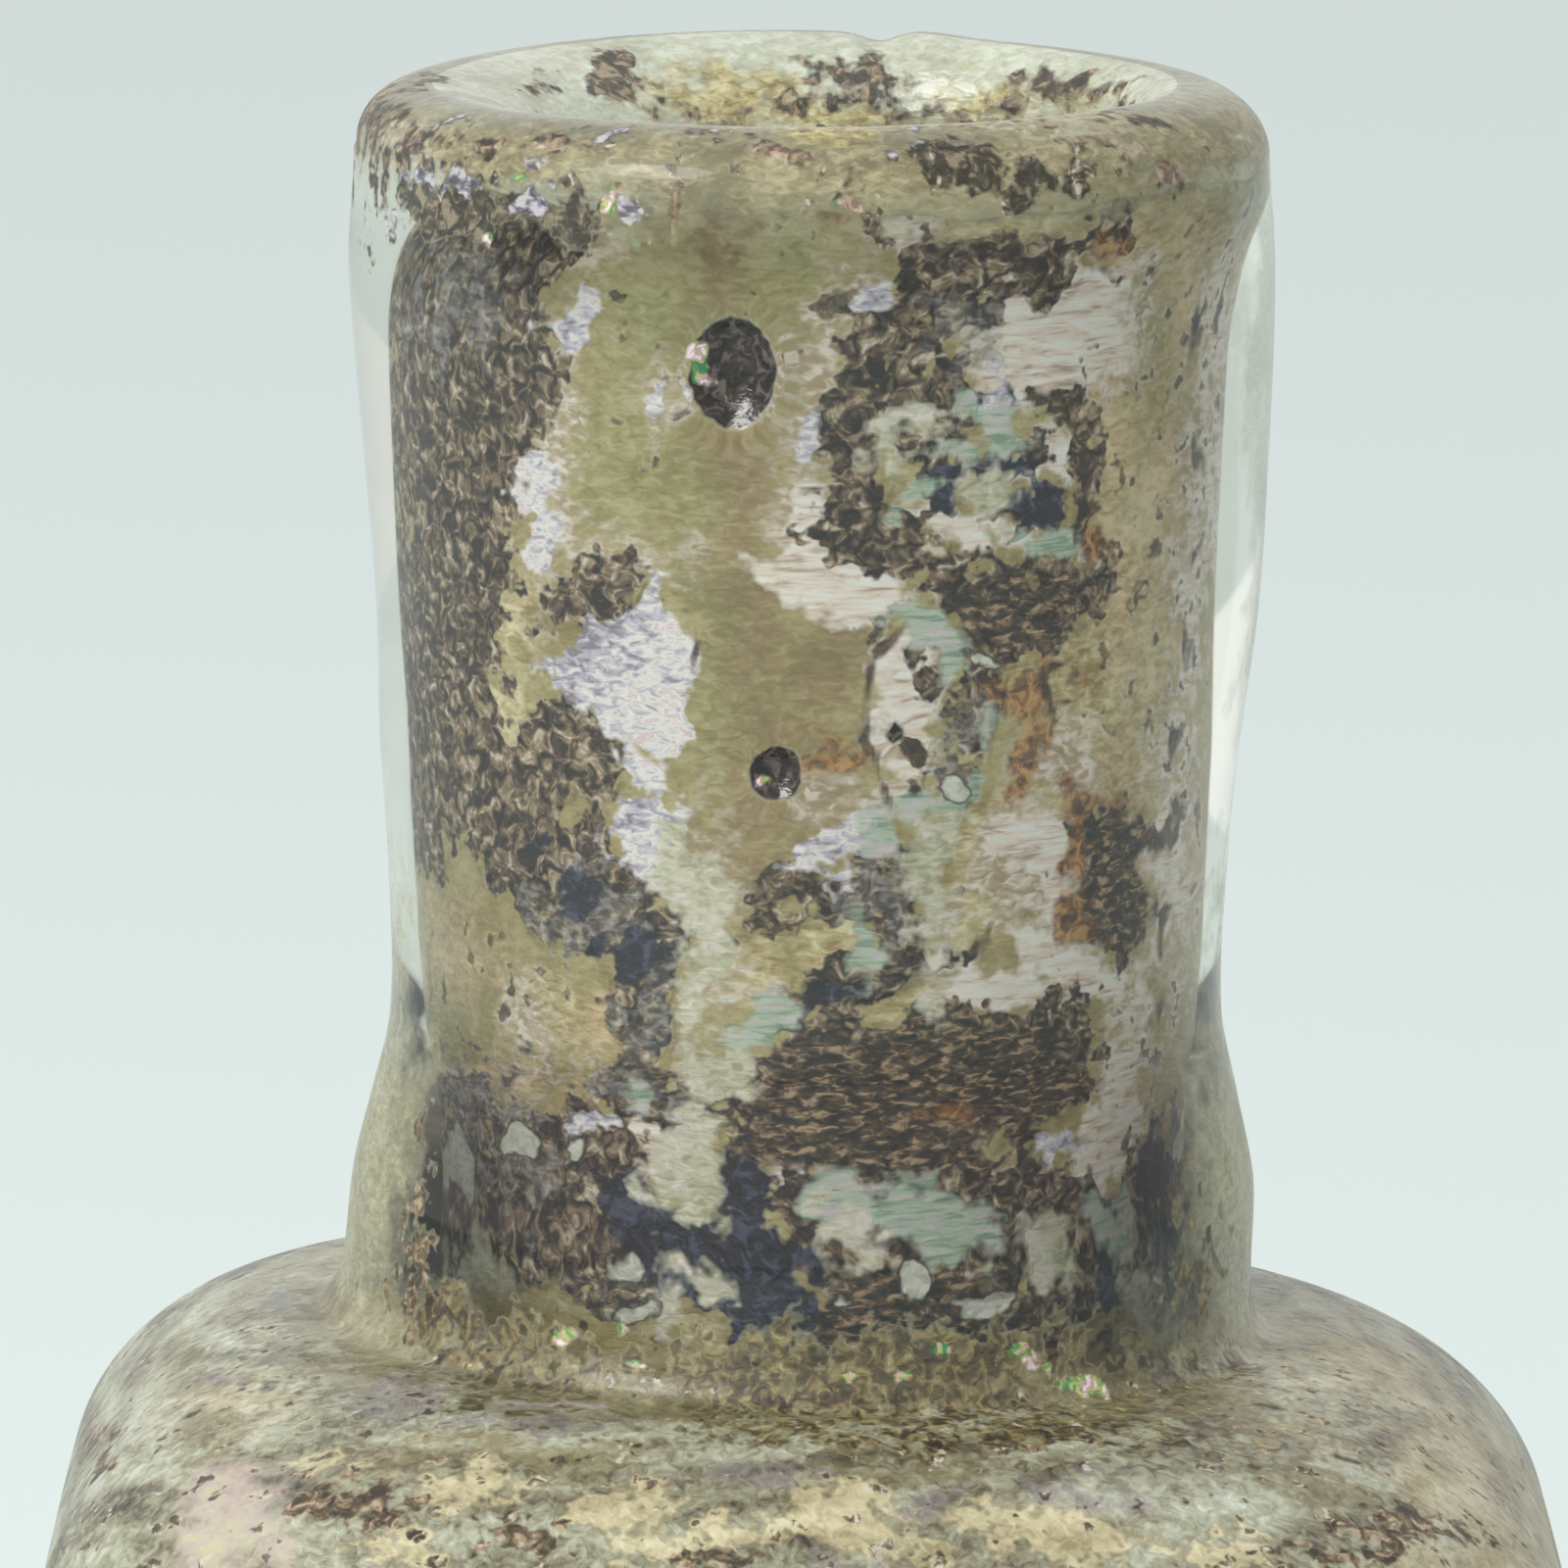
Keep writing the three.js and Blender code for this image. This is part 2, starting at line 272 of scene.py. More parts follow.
def hollow(angle, shoulder_rows, wall_rows):
    """The hollow of the body, from the round edge at the bore's foot to the middle of its floor."""
    turn = shares(6) * math.pi / 2
    z = BORE_FOOT - BORE_EDGE_RADIUS * np.sin(turn)
    shadow_edge = place(angle, BORE_FOOT_RADIUS + BORE_EDGE_RADIUS * (1 - np.cos(turn)), z)
    plan = body_plan(angle, BODY_WALL, CAVITY_WALL_TOP)
    foot = BORE_FOOT_RADIUS + BORE_EDGE_RADIUS
    shoulder = arch(angle, shares(shoulder_rows)[:-1], plan, foot, CAVITY_WALL_TOP, 0.0)[::-1]
    z = CAVITY_WALL_TOP + (CAVITY_WALL_FOOT - CAVITY_WALL_TOP) * np.linspace(0, 1, wall_rows)[:, None]
    wall = place(angle, body_plan(angle, BODY_WALL, z), z)
    turn = shares(6) * math.pi / 2
    z = BASE_WALL + FLOOR_FILLET * (1 - np.sin(turn))
    floor = place(angle, body_plan(angle, BODY_WALL + FLOOR_FILLET * (1 - np.cos(turn)), z), z)
    share = 1 - shares(4)[:-1]
    middle = place(angle, KICK_RADIUS * share, BASE_WALL + KICK_DEPTH * np.cos(share * math.pi / 2))
    return np.concatenate([shadow_edge, shoulder, wall, floor, middle])


def grid_normals(points):
    """Unit normals of a band of rings: the cross product of its two directions, round and along."""
    round_way = np.roll(points, -1, axis=1) - np.roll(points, 1, axis=1)
    along = np.gradient(points, axis=0)
    normal = np.cross(round_way, along)
    return normal / np.maximum(np.linalg.norm(normal, axis=-1, keepdims=True), 1e-9)


def lattice_noise(points, size, seed):
    """Smooth noise from -1 to 1: random values on a cubic lattice, eased between its eight corners."""
    table = np.random.default_rng(seed).random((24, 24, 24)) * 2 - 1
    cell = points / size + 240.0
    low = np.floor(cell).astype(int)
    part = cell - low
    part = part * part * (3 - 2 * part)
    total = np.zeros(points.shape[:-1])
    for corner in np.ndindex(2, 2, 2):
        weight = np.prod(np.where(corner, part, 1 - part), axis=-1)
        i, j, k = np.moveaxis((low + corner) % 24, -1, 0)
        total += weight * table[i, j, k]
    return total


def mottled_noise(points):
    """Soft blotches of film, two and less than one millimetre wide."""
    return 0.5 + 0.16 * lattice_noise(points, 2.2, 5) + 0.16 * lattice_noise(points, 0.8, 6)


def swept_noise(points):
    """Noise drawn out round the axis, as film lies on blown glass: its place is the azimuth on a small
    circle, the distance from the axis and the height."""
    azimuth = np.arctan2(points[..., 1], points[..., 0])
    out = np.hypot(points[..., 0], points[..., 1])
    spot = np.stack([6 * np.cos(azimuth) + 1.2 * out, 6 * np.sin(azimuth), 1.6 * points[..., 2]], axis=-1)
    return 0.5 + 0.2 * lattice_noise(spot, 1.5, 7) + 0.2 * lattice_noise(spot, 0.55, 8)


def scattered_noise(points, seed):
    """Broad and fine noise together, for patches on the sides that the photograph doesn't show."""
    return lattice_noise(points, 3.2, seed) + 0.6 * lattice_noise(points, 1.1, seed + 20)


def wandering(place_seen, points):
    """Shifts places on the front view plane by up to half a millimetre of noise, so that edges run free."""
    u, v = place_seen
    u = u + 0.3 * lattice_noise(points, 1.1, 11) + 0.16 * lattice_noise(points, 0.45, 12)
    v = v + 0.3 * lattice_noise(points, 1.1, 13) + 0.16 * lattice_noise(points, 0.45, 14)
    return u, v


# The front view plane: millimetres right of the neck's axis and below the rim's middle, as the eye sees them

def front_view(points):
    """Projects points from the eye on to the upright plane through the neck's axis."""
    eye = np.array([AIM_SIDE, -EYE_DISTANCE, BOTTLE_HEIGHT + EYE_OVER_RIM])
    aim = np.array([AIM_SIDE, 0.0, BOTTLE_HEIGHT - AIM_UNDER_RIM])
    forward = (aim - eye) / np.linalg.norm(aim - eye)
    up = np.cross((1.0, 0.0, 0.0), forward)
    depth = (points - eye) @ forward
    scale = np.linalg.norm(aim - eye) / depth
    rim = np.array([0.0, 0.0, BOTTLE_HEIGHT]) - eye
    rim_v = (rim @ up) * np.linalg.norm(aim - eye) / (rim @ forward)
    return AIM_SIDE + (points[..., 0] - AIM_SIDE) * scale, rim_v - ((points - eye) @ up) * scale


def seen_through_glass(points):
    """Where the eye sees points of the bore's wall, through the neck's glass, on the front view plane.

    A ray at a distance from the axis bends by Snell's law where it enters the round neck, keeps that
    distance over the glass's index inside, and meets the bore at the azimuth that this gives.
    """
    azimuth = np.arctan2(points[..., 0], -points[..., 1])
    inner = np.linalg.norm(points[..., :2], axis=-1)
    share = np.clip((BOTTLE_HEIGHT - OUTER_ROLL_DEPTH - points[..., 2]) / NECK_LENGTH, 0, 1)
    outer = neck_radius(share)
    across = np.zeros_like(inner)
    reach = np.zeros_like(inner)
    for row in range(len(points)):
        small, large = inner[row].mean(), outer[row].mean()
        small = min(small, large / GLASS_IOR * 0.98)
        ray = np.linspace(0, GLASS_IOR * small, 120)
        enters = np.arcsin(ray / large)
        bends = np.arcsin(ray / (GLASS_IOR * large))
        meets = np.arcsin(ray / (GLASS_IOR * small))
        turned = enters - bends + meets
        away = np.abs(azimuth[row])
        past = np.maximum(away - turned[-1], 0) * small
        across[row] = np.interp(away, turned, ray) + past
        reach[row] = np.interp(away, turned, large * np.cos(bends) - small * np.cos(meets))
    across = np.copysign(across, azimuth)
    fall = (BOTTLE_HEIGHT + EYE_OVER_RIM - points[..., 2]) / EYE_DISTANCE
    inside_fall = fall / GLASS_IOR
    entry_y = -np.sqrt(np.maximum(outer ** 2 - across ** 2, 0))
    entry = np.stack([across, entry_y, points[..., 2] + reach * inside_fall], axis=-1)
    return front_view(entry)


# A patch is an ellipse on the front view plane, in millimetres and degrees:
# (right of the axis, below the rim, half width, half height, turn)

def patch_depth(u, v, patches):
    """How deep a place lies inside the nearest patch, in millimetres: negative outside all of them."""
    depth = np.full(u.shape, FAR_OUTSIDE)
    for right, below, half_width, half_height, turn in patches:
        cosine, sine = math.cos(math.radians(turn)), math.sin(math.radians(turn))
        wide = ((u - right) * cosine + (v - below) * sine) / half_width
        high = ((v - below) * cosine - (u - right) * sine) / half_height
        depth = np.maximum(depth, (1 - np.hypot(wide, high)) * min(half_width, half_height))
    return depth


# Patches of the deposit as the eye sees them through the glass
INNER_PATCHES = {
    "brown_streak": (
        (-1.9, 3.2, 0.9, 2.6, 0), (-1.6, 8.5, 0.9, 4.0, 0), (-1.5, 11.6, 0.9, 2.6, 0),
        (-1.3, 15.0, 1.0, 3.0, 0), (0.4, 15.4, 0.9, 2.0, 0), (0.6, 13.0, 0.7, 1.2, 0),
        (-1.9, 17.0, 0.5, 1.6, 0),
    ),
    "moss_green": (
        (-3.6, 5.2, 1.2, 1.2, 0), (-4.2, 8.2, 1.2, 1.6, 0), (-2.9, 9.4, 0.5, 1.4, 0),
        (-5.9, 1.4, 2.0, 0.5, 8), (-2.2, 13.0, 0.35, 1.8, 0), (7.4, 5.4, 0.6, 1.5, 0),
        (7.8, 13.8, 0.4, 2.2, 0), (-8.6, 21.0, 0.6, 2.4, 0), (-0.4, 4.4, 0.9, 1.4, 0),
        (9.0, 2.6, 0.7, 1.4, 0), (7.2, 21.4, 0.3, 1.2, 0), (7.2, 19.4, 0.4, 0.9, 20),
    ),
    "straw": (
        (-6.1, 20.4, 0.9, 1.0, 0), (-6.7, 13.9, 0.5, 0.6, 0), (-6.4, 11.8, 0.4, 0.8, 0),
        (3.8, 3.2, 1.2, 0.6, 0), (1.9, 20.3, 0.7, 0.25, 0), (0.4, 18.8, 0.6, 0.6, 30),
        (-1.3, 19.4, 0.8, 0.8, 0), (6.2, 13.4, 0.8, 1.4, 0), (5.0, 12.9, 0.9, 0.4, -20),
        (4.3, 17.3, 1.3, 1.4, -10), (-4.9, 3.4, 0.7, 0.7, 0), (5.3, 2.4, 0.5, 0.4, 0),
        (3.3, 18.2, 0.5, 1.0, 0), (6.7, 20.9, 0.5, 1.0, 0), (7.1, 23.6, 0.7, 1.4, 0),
        (5.2, 15.8, 0.8, 0.8, 0), (0.2, 19.6, 0.8, 0.3, -30),
    ),
    "tan_film": (
        (6.8, 5.6, 1.2, 3.4, 0), (8.3, 4.2, 0.9, 2.6, 0), (7.4, 12.0, 1.2, 3.2, 0),
        (7.6, 17.4, 0.8, 2.6, 0), (6.8, 14.6, 1.0, 2.0, 0), (6.9, 21.4, 0.7, 2.0, 0),
        (7.8, 8.6, 0.8, 2.0, 0), (-8.2, 19.2, 0.9, 1.2, 0), (-7.0, 22.0, 1.6, 0.4, 0),
        (-4.7, 20.8, 0.6, 0.8, 0), (5.6, 12.6, 0.9, 0.6, 0),
    ),
    "pale_bloom": (
        (0.2, 6.8, 0.6, 2.0, 0), (0.1, 9.4, 0.8, 1.2, 0), (5.2, 5.4, 2.0, 1.6, 0),
        (-4.6, 10.4, 1.6, 0.4, 0), (-5.7, 8.2, 0.4, 2.4, 0), (7.0, 5.0, 0.6, 1.0, 0),
        (-3.3, 6.9, 0.3, 0.5, 0), (2.6, 18.2, 0.5, 1.4, 0), (-2.1, 18.6, 0.5, 1.6, 0),
        (2.2, 3.0, 0.5, 0.8, 0), (-5.4, 3.6, 0.8, 0.5, 0), (8.7, 8.0, 0.4, 4.0, 6),
        (1.2, 15.6, 1.2, 0.4, 0), (5.6, 14.8, 1.0, 0.9, 0), (-2.8, 21.8, 0.4, 0.9, 0),
        (6.9, 21.4, 0.6, 1.8, 0), (-6.3, 20.5, 0.5, 0.9, 0), (7.9, 17.0, 0.5, 3.4, 0),
        (1.3, 4.8, 0.5, 0.9, 0), (5.0, 17.2, 1.2, 1.4, 0),
    ),
    "grey_bloom": (
        (-7.5, 22.9, 1.2, 0.7, 0), (-5.6, 21.9, 1.2, 0.3, 0), (-3.6, 20.4, 0.6, 1.2, 0),
        (-4.7, 18.2, 1.2, 0.8, 20), (8.2, 24.6, 0.5, 1.6, 0), (6.8, 25.2, 0.5, 0.6, 0),
        (1.6, 17.6, 0.7, 0.9, 0), (-8.0, 4.6, 0.8, 1.2, 0), (-2.9, 22.2, 0.9, 0.5, 0),
        (3.4, 14.4, 0.3, 0.9, 10), (-6.4, 24.6, 0.8, 0.6, 0), (3.4, 5.4, 0.6, 0.5, 0),
    ),
    "crack_line": (
        (1.75, 12.3, 0.1, 0.5, 45), (1.33, 13.2, 0.1, 0.7, 14), (1.3, 14.5, 0.09, 0.8, -6),
        (1.55, 15.5, 0.09, 0.4, -25), (3.8, 18.95, 0.4, 0.07, -22), (4.15, 18.65, 0.07, 0.25, 20),
        (2.45, 14.6, 0.18, 0.32, 0), (2.4, 15.5, 0.2, 0.14, 0), (5.1, 6.95, 0.45, 0.12, 20),
        (5.85, 7.5, 0.12, 0.5, -35), (6.15, 8.5, 0.13, 0.7, 0), (6.05, 9.6, 0.12, 0.5, 12),
        (8.55, 5.4, 0.07, 0.7, 10), (8.75, 8.0, 0.09, 0.6, -8), (8.6, 10.0, 0.09, 0.5, 16),
        (8.3, 12.0, 0.07, 0.6, -6), (8.1, 14.2, 0.11, 0.5, 8), (7.9, 16.4, 0.09, 0.7, 14),
        (7.8, 18.6, 0.1, 0.5, -6), (7.7, 20.6, 0.08, 0.5, 0), (4.9, 12.9, 0.4, 0.07, 0),
        (5.35, 13.35, 0.08, 0.4, 0), (4.45, 13.35, 0.08, 0.4, 0), (-0.1, 14.75, 0.4, 0.08, -25),
        (5.5, 12.85, 0.3, 0.07, -40), (5.7, 13.6, 0.3, 0.07, 20), (-2.6, 12.3, 0.08, 0.6, -15),
        (-3.1, 11.2, 0.3, 0.08, 30), (6.9, 11.2, 0.3, 0.07, -25), (6.7, 10.3, 0.3, 0.07, 60),
        (0.4, 8.5, 0.3, 0.07, 20), (0.3, 9.0, 0.4, 0.07, -10),
    ),
    "pink_cream": (
        (5.2, 4.0, 0.8, 0.4, -20), (6.4, 5.9, 0.5, 0.8, 0), (0.6, 11.4, 0.8, 0.4, 8),
        (5.5, 17.6, 0.35, 0.9, 0), (3.9, 19.8, 1.7, 0.5, 5), (5.6, 19.2, 0.9, 0.6, 30),
        (6.4, 19.8, 0.6, 0.4, 20), (2.1, 13.9, 0.8, 1.8, 0), (6.9, 23.5, 0.7, 1.0, 0),
        (6.5, 24.4, 0.5, 0.7, 0), (7.0, 22.2, 0.5, 0.8, 0), (5.4, 5.1, 1.4, 1.2, 0),
        (5.2, 6.3, 1.4, 0.7, 0), (6.3, 4.6, 0.5, 0.9, 0), (5.6, 8.2, 0.5, 0.7, 0),
        (-3.8, 23.5, 1.1, 0.65, 10), (-3.0, 23.3, 0.8, 0.5, 0), (-0.3, 24.6, 0.5, 0.6, -20),
        (4.0, 24.5, 0.45, 0.6, 20), (0.3, 10.7, 1.2, 0.6, 6), (1.2, 11.3, 1.0, 0.6, 12),
        (0.3, 9.5, 0.5, 0.8, 0), (3.0, 9.7, 1.0, 0.35, 25), (4.5, 9.7, 0.9, 0.25, 12),
        (4.6, 8.4, 1.0, 0.3, -15), (-3.5, 21.4, 0.3, 0.6, -30), (5.0, 16.6, 0.6, 0.5, 0),
        (7.9, 17.0, 0.3, 1.8, 0), (8.9, 5.6, 0.25, 1.6, 5), (8.9, 9.0, 0.25, 1.5, 8),
        (8.4, 12.4, 0.25, 1.6, 5), (1.9, 3.1, 0.45, 0.8, -20), (-4.6, 25.0, 0.3, 0.4, 0),
        (7.2, 20.0, 0.3, 1.0, 0), (1.75, 7.9, 0.25, 0.4, -20),
    ),
    "freckles": (
        (7.0, 12.6, 1.8, 7.6, 0), (-6.6, 20.6, 2.4, 2.2, 0), (0.5, 3.6, 2.4, 2.4, 0),
        (-4.2, 6.6, 1.2, 2.2, 0), (0.0, 27.6, 8.0, 1.4, 0), (7.2, 20.5, 0.8, 3.4, 0),
        (-5.2, 12.4, 1.0, 1.6, 0), (8.6, 5.0, 0.8, 3.4, 0),
    ),
    "crust": (
        (-6.9, 24.3, 1.2, 0.5, 0), (-8.1, 25.6, 0.5, 1.2, 0), (-6.9, 25.9, 0.9, 0.7, 0),
        (2.2, 5.3, 0.9, 0.7, 0), (1.5, 5.9, 0.8, 0.5, 0), (3.2, 4.9, 0.8, 0.5, 0), (2.0, 6.9, 0.5, 0.8, 0),
        (-8.9, 4.6, 0.6, 1.6, 0), (-8.9, 7.6, 0.6, 2.0, 0), (-8.9, 10.8, 0.6, 2.0, 0),
        (-8.9, 13.6, 0.6, 1.8, 0), (-8.9, 15.9, 0.5, 1.0, 0), (-7.4, 3.3, 1.8, 1.0, 0),
        (-6.2, 3.7, 0.9, 0.7, 0), (-7.5, 5.4, 1.7, 2.0, 0), (-7.5, 8.0, 1.5, 2.2, 0),
        (-6.4, 6.6, 0.7, 1.0, 0), (-7.7, 10.6, 1.2, 1.9, 0), (-5.7, 2.9, 0.5, 0.6, 0),
        (-8.0, 2.7, 0.9, 0.6, 0), (-7.7, 12.6, 1.0, 1.5, 0), (-5.2, 11.3, 0.7, 0.5, 0),
        (-4.5, 11.1, 0.8, 0.8, 0), (-7.1, 11.3, 0.5, 0.9, 0), (-7.9, 14.8, 1.3, 1.9, 0),
        (-8.4, 14.6, 0.7, 1.6, 0), (-6.3, 15.1, 1.0, 1.0, 0), (-5.4, 14.4, 0.9, 0.8, 0),
        (-4.5, 15.1, 0.7, 0.5, 0), (-6.6, 16.5, 0.8, 0.9, 0), (-5.7, 17.0, 1.0, 0.9, 0),
        (-4.8, 16.6, 0.5, 0.8, 0), (-5.1, 17.9, 1.2, 0.9, 20), (-3.9, 17.8, 0.9, 0.7, 20),
        (-4.1, 18.6, 1.3, 0.7, 10), (-3.7, 19.8, 0.8, 1.0, 0), (-3.6, 20.8, 0.8, 0.8, 0),
        (-8.4, 16.8, 0.5, 0.5, 0), (-3.6, 21.8, 0.7, 0.7, 0), (-2.9, 22.6, 0.9, 0.6, 0),
        (-4.4, 22.4, 0.7, 0.5, 0), (3.2, 1.9, 1.2, 0.45, 8), (3.5, 2.35, 0.7, 0.3, 0),
        (4.7, 2.3, 0.3, 0.5, -20), (5.9, 2.0, 0.16, 0.8, -15), (6.2, 3.0, 0.28, 0.7, -10),
        (2.6, 4.2, 1.0, 0.7, 0), (3.6, 4.1, 0.7, 0.5, 0), (4.9, 4.0, 1.1, 0.35, -20),
        (5.2, 4.3, 0.6, 0.35, 0), (3.6, 4.8, 0.6, 0.45, 0), (4.8, 4.8, 0.3, 0.3, 0),
        (1.6, 6.2, 0.7, 0.35, 0), (2.9, 6.0, 0.32, 0.9, 0), (3.1, 7.0, 0.6, 0.7, 0),
        (1.2, 7.1, 0.8, 0.9, 0), (0.9, 8.1, 0.6, 1.0, 0), (1.0, 9.0, 0.6, 0.5, 0), (1.4, 9.8, 1.0, 0.5, 0),
        (2.2, 7.8, 0.4, 0.5, 0), (3.3, 7.6, 0.6, 0.4, 0), (2.9, 8.9, 0.6, 0.6, 0), (4.2, 8.4, 0.35, 0.4, 0),
        (4.8, 8.1, 0.5, 0.25, 0), (4.9, 9.3, 0.75, 0.4, -10), (6.1, 8.6, 0.3, 1.5, 0),
        (5.7, 7.4, 0.6, 0.3, 40), (2.3, 10.4, 0.8, 0.5, 0), (3.6, 10.9, 1.3, 0.5, 0),
        (5.6, 10.7, 0.9, 0.4, 0), (4.3, 11.4, 1.6, 0.6, 0), (6.2, 11.0, 0.5, 0.7, 0),
        (5.0, 11.9, 1.2, 0.5, -20), (4.5, 12.5, 0.8, 0.4, -20), (3.6, 13.3, 0.6, 0.5, 0),
        (3.7, 14.3, 0.4, 0.9, 10), (3.4, 15.4, 0.35, 0.5, 20), (2.5, 12.9, 0.35, 0.3, 0),
        (2.5, 14.7, 0.22, 0.32, 0), (2.4, 15.4, 0.2, 0.15, 0), (6.5, 16.4, 0.9, 0.6, 10),
        (6.7, 17.4, 0.65, 1.1, 0), (6.7, 18.6, 0.35, 0.7, -10), (1.5, 17.0, 0.8, 0.5, 0),
        (1.0, 17.7, 1.3, 0.5, 0), (1.9, 18.5, 0.9, 0.8, 0), (-0.6, 17.3, 0.9, 0.3, -30),
        (-0.4, 18.1, 1.1, 0.25, -12), (2.1, 19.3, 1.0, 0.5, 0), (0.4, 19.8, 1.0, 0.5, -30),
        (-0.7, 20.3, 0.8, 0.2, -30), (0.3, 20.9, 1.0, 0.5, -35), (1.5, 21.3, 1.7, 0.9, 0),
        (3.6, 21.3, 1.9, 1.0, 0), (5.3, 21.3, 1.2, 0.9, 0), (5.6, 20.3, 0.4, 0.6, 20),
        (0.0, 22.3, 1.7, 1.0, 0), (2.0, 23.1, 2.5, 1.0, 0), (-1.8, 22.9, 0.7, 0.5, 0),
        (4.1, 22.6, 1.7, 0.8, 0), (5.4, 22.3, 0.8, 0.6, 0), (-0.6, 23.6, 1.5, 0.5, 0),
        (2.8, 23.9, 1.6, 0.4, 0), (4.8, 24.6, 0.7, 0.9, 0), (5.3, 24.7, 0.5, 0.9, 0),
        (4.3, 25.6, 0.7, 0.7, 0), (3.0, 26.4, 1.9, 0.4, 0), (1.2, 26.6, 1.6, 0.6, 0),
        (4.5, 26.9, 1.3, 0.45, 0), (0.2, 25.8, 0.35, 0.7, 0), (2.4, 27.2, 1.4, 0.35, 0),
        (-7.7, 22.9, 0.8, 0.6, 0), (-7.1, 23.9, 0.9, 0.7, 0), (-5.2, 23.6, 0.5, 0.9, 0),
        (-5.9, 26.0, 0.6, 0.5, 0), (-5.6, 25.1, 0.4, 0.6, 0), (7.6, 24.6, 0.5, 0.6, 0),
        (8.1, 25.2, 0.5, 1.0, 0), (8.2, 26.9, 0.5, 0.5, 0), (6.5, 26.2, 0.3, 0.8, 0),
        (8.4, 23.6, 0.3, 0.6, 0), (-8.2, 23.8, 0.3, 0.6, 0), (-4.2, 24.3, 0.5, 0.2, 20),
        (-1.2, 27.4, 0.5, 0.4, 0), (-5.6, 24.6, 2.2, 1.5, 0), (-4.4, 26.3, 1.4, 0.7, 20),
        (1.6, 11.9, 0.4, 0.12, -40), (3.0, 12.3, 0.5, 0.12, 30), (2.5, 25.3, 3.4, 1.6, 0),
        (6.2, 25.9, 1.3, 1.3, 0), (7.9, 25.6, 0.9, 1.9, 0), (2.0, 27.6, 3.4, 0.6, 0),
    ),
    "brown_crust": (
        (2.5, 21.6, 3.2, 1.1, 0), (4.2, 22.3, 1.9, 1.0, 0), (1.5, 22.9, 2.6, 0.9, 0),
        (1.0, 24.0, 3.0, 0.5, 0), (2.2, 26.9, 2.6, 0.8, 0), (6.65, 17.3, 0.85, 1.55, 0),
        (4.6, 11.6, 1.5, 0.7, -10), (2.0, 27.8, 3.4, 0.6, 0),
    ),
    "navy": (
        (-3.9, 25.2, 0.6, 0.6, 0), (-3.1, 25.8, 1.3, 0.6, 10), (-1.8, 25.0, 0.7, 1.1, 10),
        (-1.9, 26.2, 1.6, 0.9, 0), (-1.0, 26.8, 0.9, 0.8, 0), (-1.3, 27.5, 0.5, 0.5, 0),
        (3.0, 9.0, 0.45, 0.5, 0), (4.2, 8.4, 0.5, 0.3, -20), (4.9, 9.2, 0.6, 0.3, 0),
        (-4.9, 17.8, 0.5, 0.4, 0), (-5.9, 16.7, 0.3, 0.3, 0), (0.3, 19.9, 0.5, 0.3, -30),
        (6.7, 25.6, 0.35, 0.8, 0), (6.9, 26.6, 0.3, 0.5, 0), (3.9, 6.9, 0.35, 0.3, 0),
        (-4.0, 19.2, 0.7, 0.4, 0), (7.9, 24.6, 0.3, 0.7, 0), (-0.2, 20.5, 0.5, 0.2, -30),
    ),
    # Lilac and silver flakes, with painted white glints on them
    "lilac_silver": (
        (-5.4, 5.4, 0.5, 0.5, -15), (-5.0, 4.8, 0.3, 0.35, 0), (-6.1, 8.8, 0.3, 0.7, 0),
        (-6.0, 9.9, 0.3, 0.6, 0), (-3.9, 13.0, 1.5, 1.35, 0), (-4.9, 12.9, 0.9, 0.6, 10),
        (-3.2, 14.1, 0.6, 0.6, 0), (-3.6, 15.3, 0.5, 0.45, 0), (-3.5, 16.4, 0.9, 0.6, 0),
        (-3.3, 17.1, 0.6, 0.35, 0), (1.5, 4.5, 0.3, 0.3, -20), (0.5, 16.6, 0.8, 0.3, -15),
        (1.2, 16.2, 0.4, 0.3, 0), (-5.0, 23.3, 0.3, 0.15, 0), (-3.3, 11.3, 0.3, 0.4, 0),
        (0.8, 17.2, 0.4, 0.3, 0), (5.6, 23.6, 0.4, 0.3, -30), (-3.2, 7.0, 0.16, 0.22, 0),
        (8.6, 26.2, 0.2, 0.6, 0), (4.0, 7.2, 0.16, 0.5, 0), (0.1, 8.0, 0.12, 0.3, 0),
    ),
    "turquoise": (
        (3.5, 6.9, 0.25, 0.25, 0), (1.7, 16.4, 0.35, 0.3, 0), (3.9, 14.9, 0.12, 0.5, 8),
        (4.1, 7.7, 0.3, 0.5, 0), (2.3, 9.1, 0.4, 0.22, 0), (5.4, 10.0, 0.5, 0.22, 15),
        (2.6, 11.9, 0.8, 0.3, 12), (3.1, 12.7, 0.35, 0.3, 0), (2.4, 15.9, 0.8, 0.25, 0),
        (0.6, 25.0, 0.7, 0.55, 0), (2.4, 25.2, 1.1, 0.45, 10), (3.1, 25.6, 0.9, 0.4, -15),
        (-1.2, 20.8, 0.35, 0.8, 35), (-0.6, 20.4, 0.7, 0.28, -15), (3.9, 8.1, 0.6, 0.2, -10),
        (7.1, 25.4, 0.3, 0.5, 0), (1.1, 18.9, 0.18, 0.4, 0), (-3.9, 22.6, 0.25, 0.2, 0),
        (6.6, 25.3, 0.3, 0.5, -20),
    ),
    "pale_green": (
        (-2.6, 17.4, 0.6, 1.0, -20), (-2.2, 18.8, 0.4, 1.1, 0), (-2.4, 20.6, 0.28, 1.6, 0),
        (-2.8, 24.4, 0.8, 0.9, -15), (-2.6, 23.7, 0.4, 0.8, 0), (-3.0, 26.9, 0.22, 0.65, -15),
        (-2.2, 26.6, 0.32, 0.22, 0), (5.3, 25.9, 0.6, 0.6, 0), (0.9, 25.6, 0.5, 0.3, 30),
        (2.5, 18.4, 0.35, 1.2, 0), (2.9, 16.8, 0.5, 0.5, 0), (7.4, 26.7, 0.3, 0.8, 0),
        (-7.2, 26.3, 0.6, 0.3, 20), (1.5, 8.1, 0.2, 0.35, 0), (1.75, 8.4, 0.3, 0.2, -30),
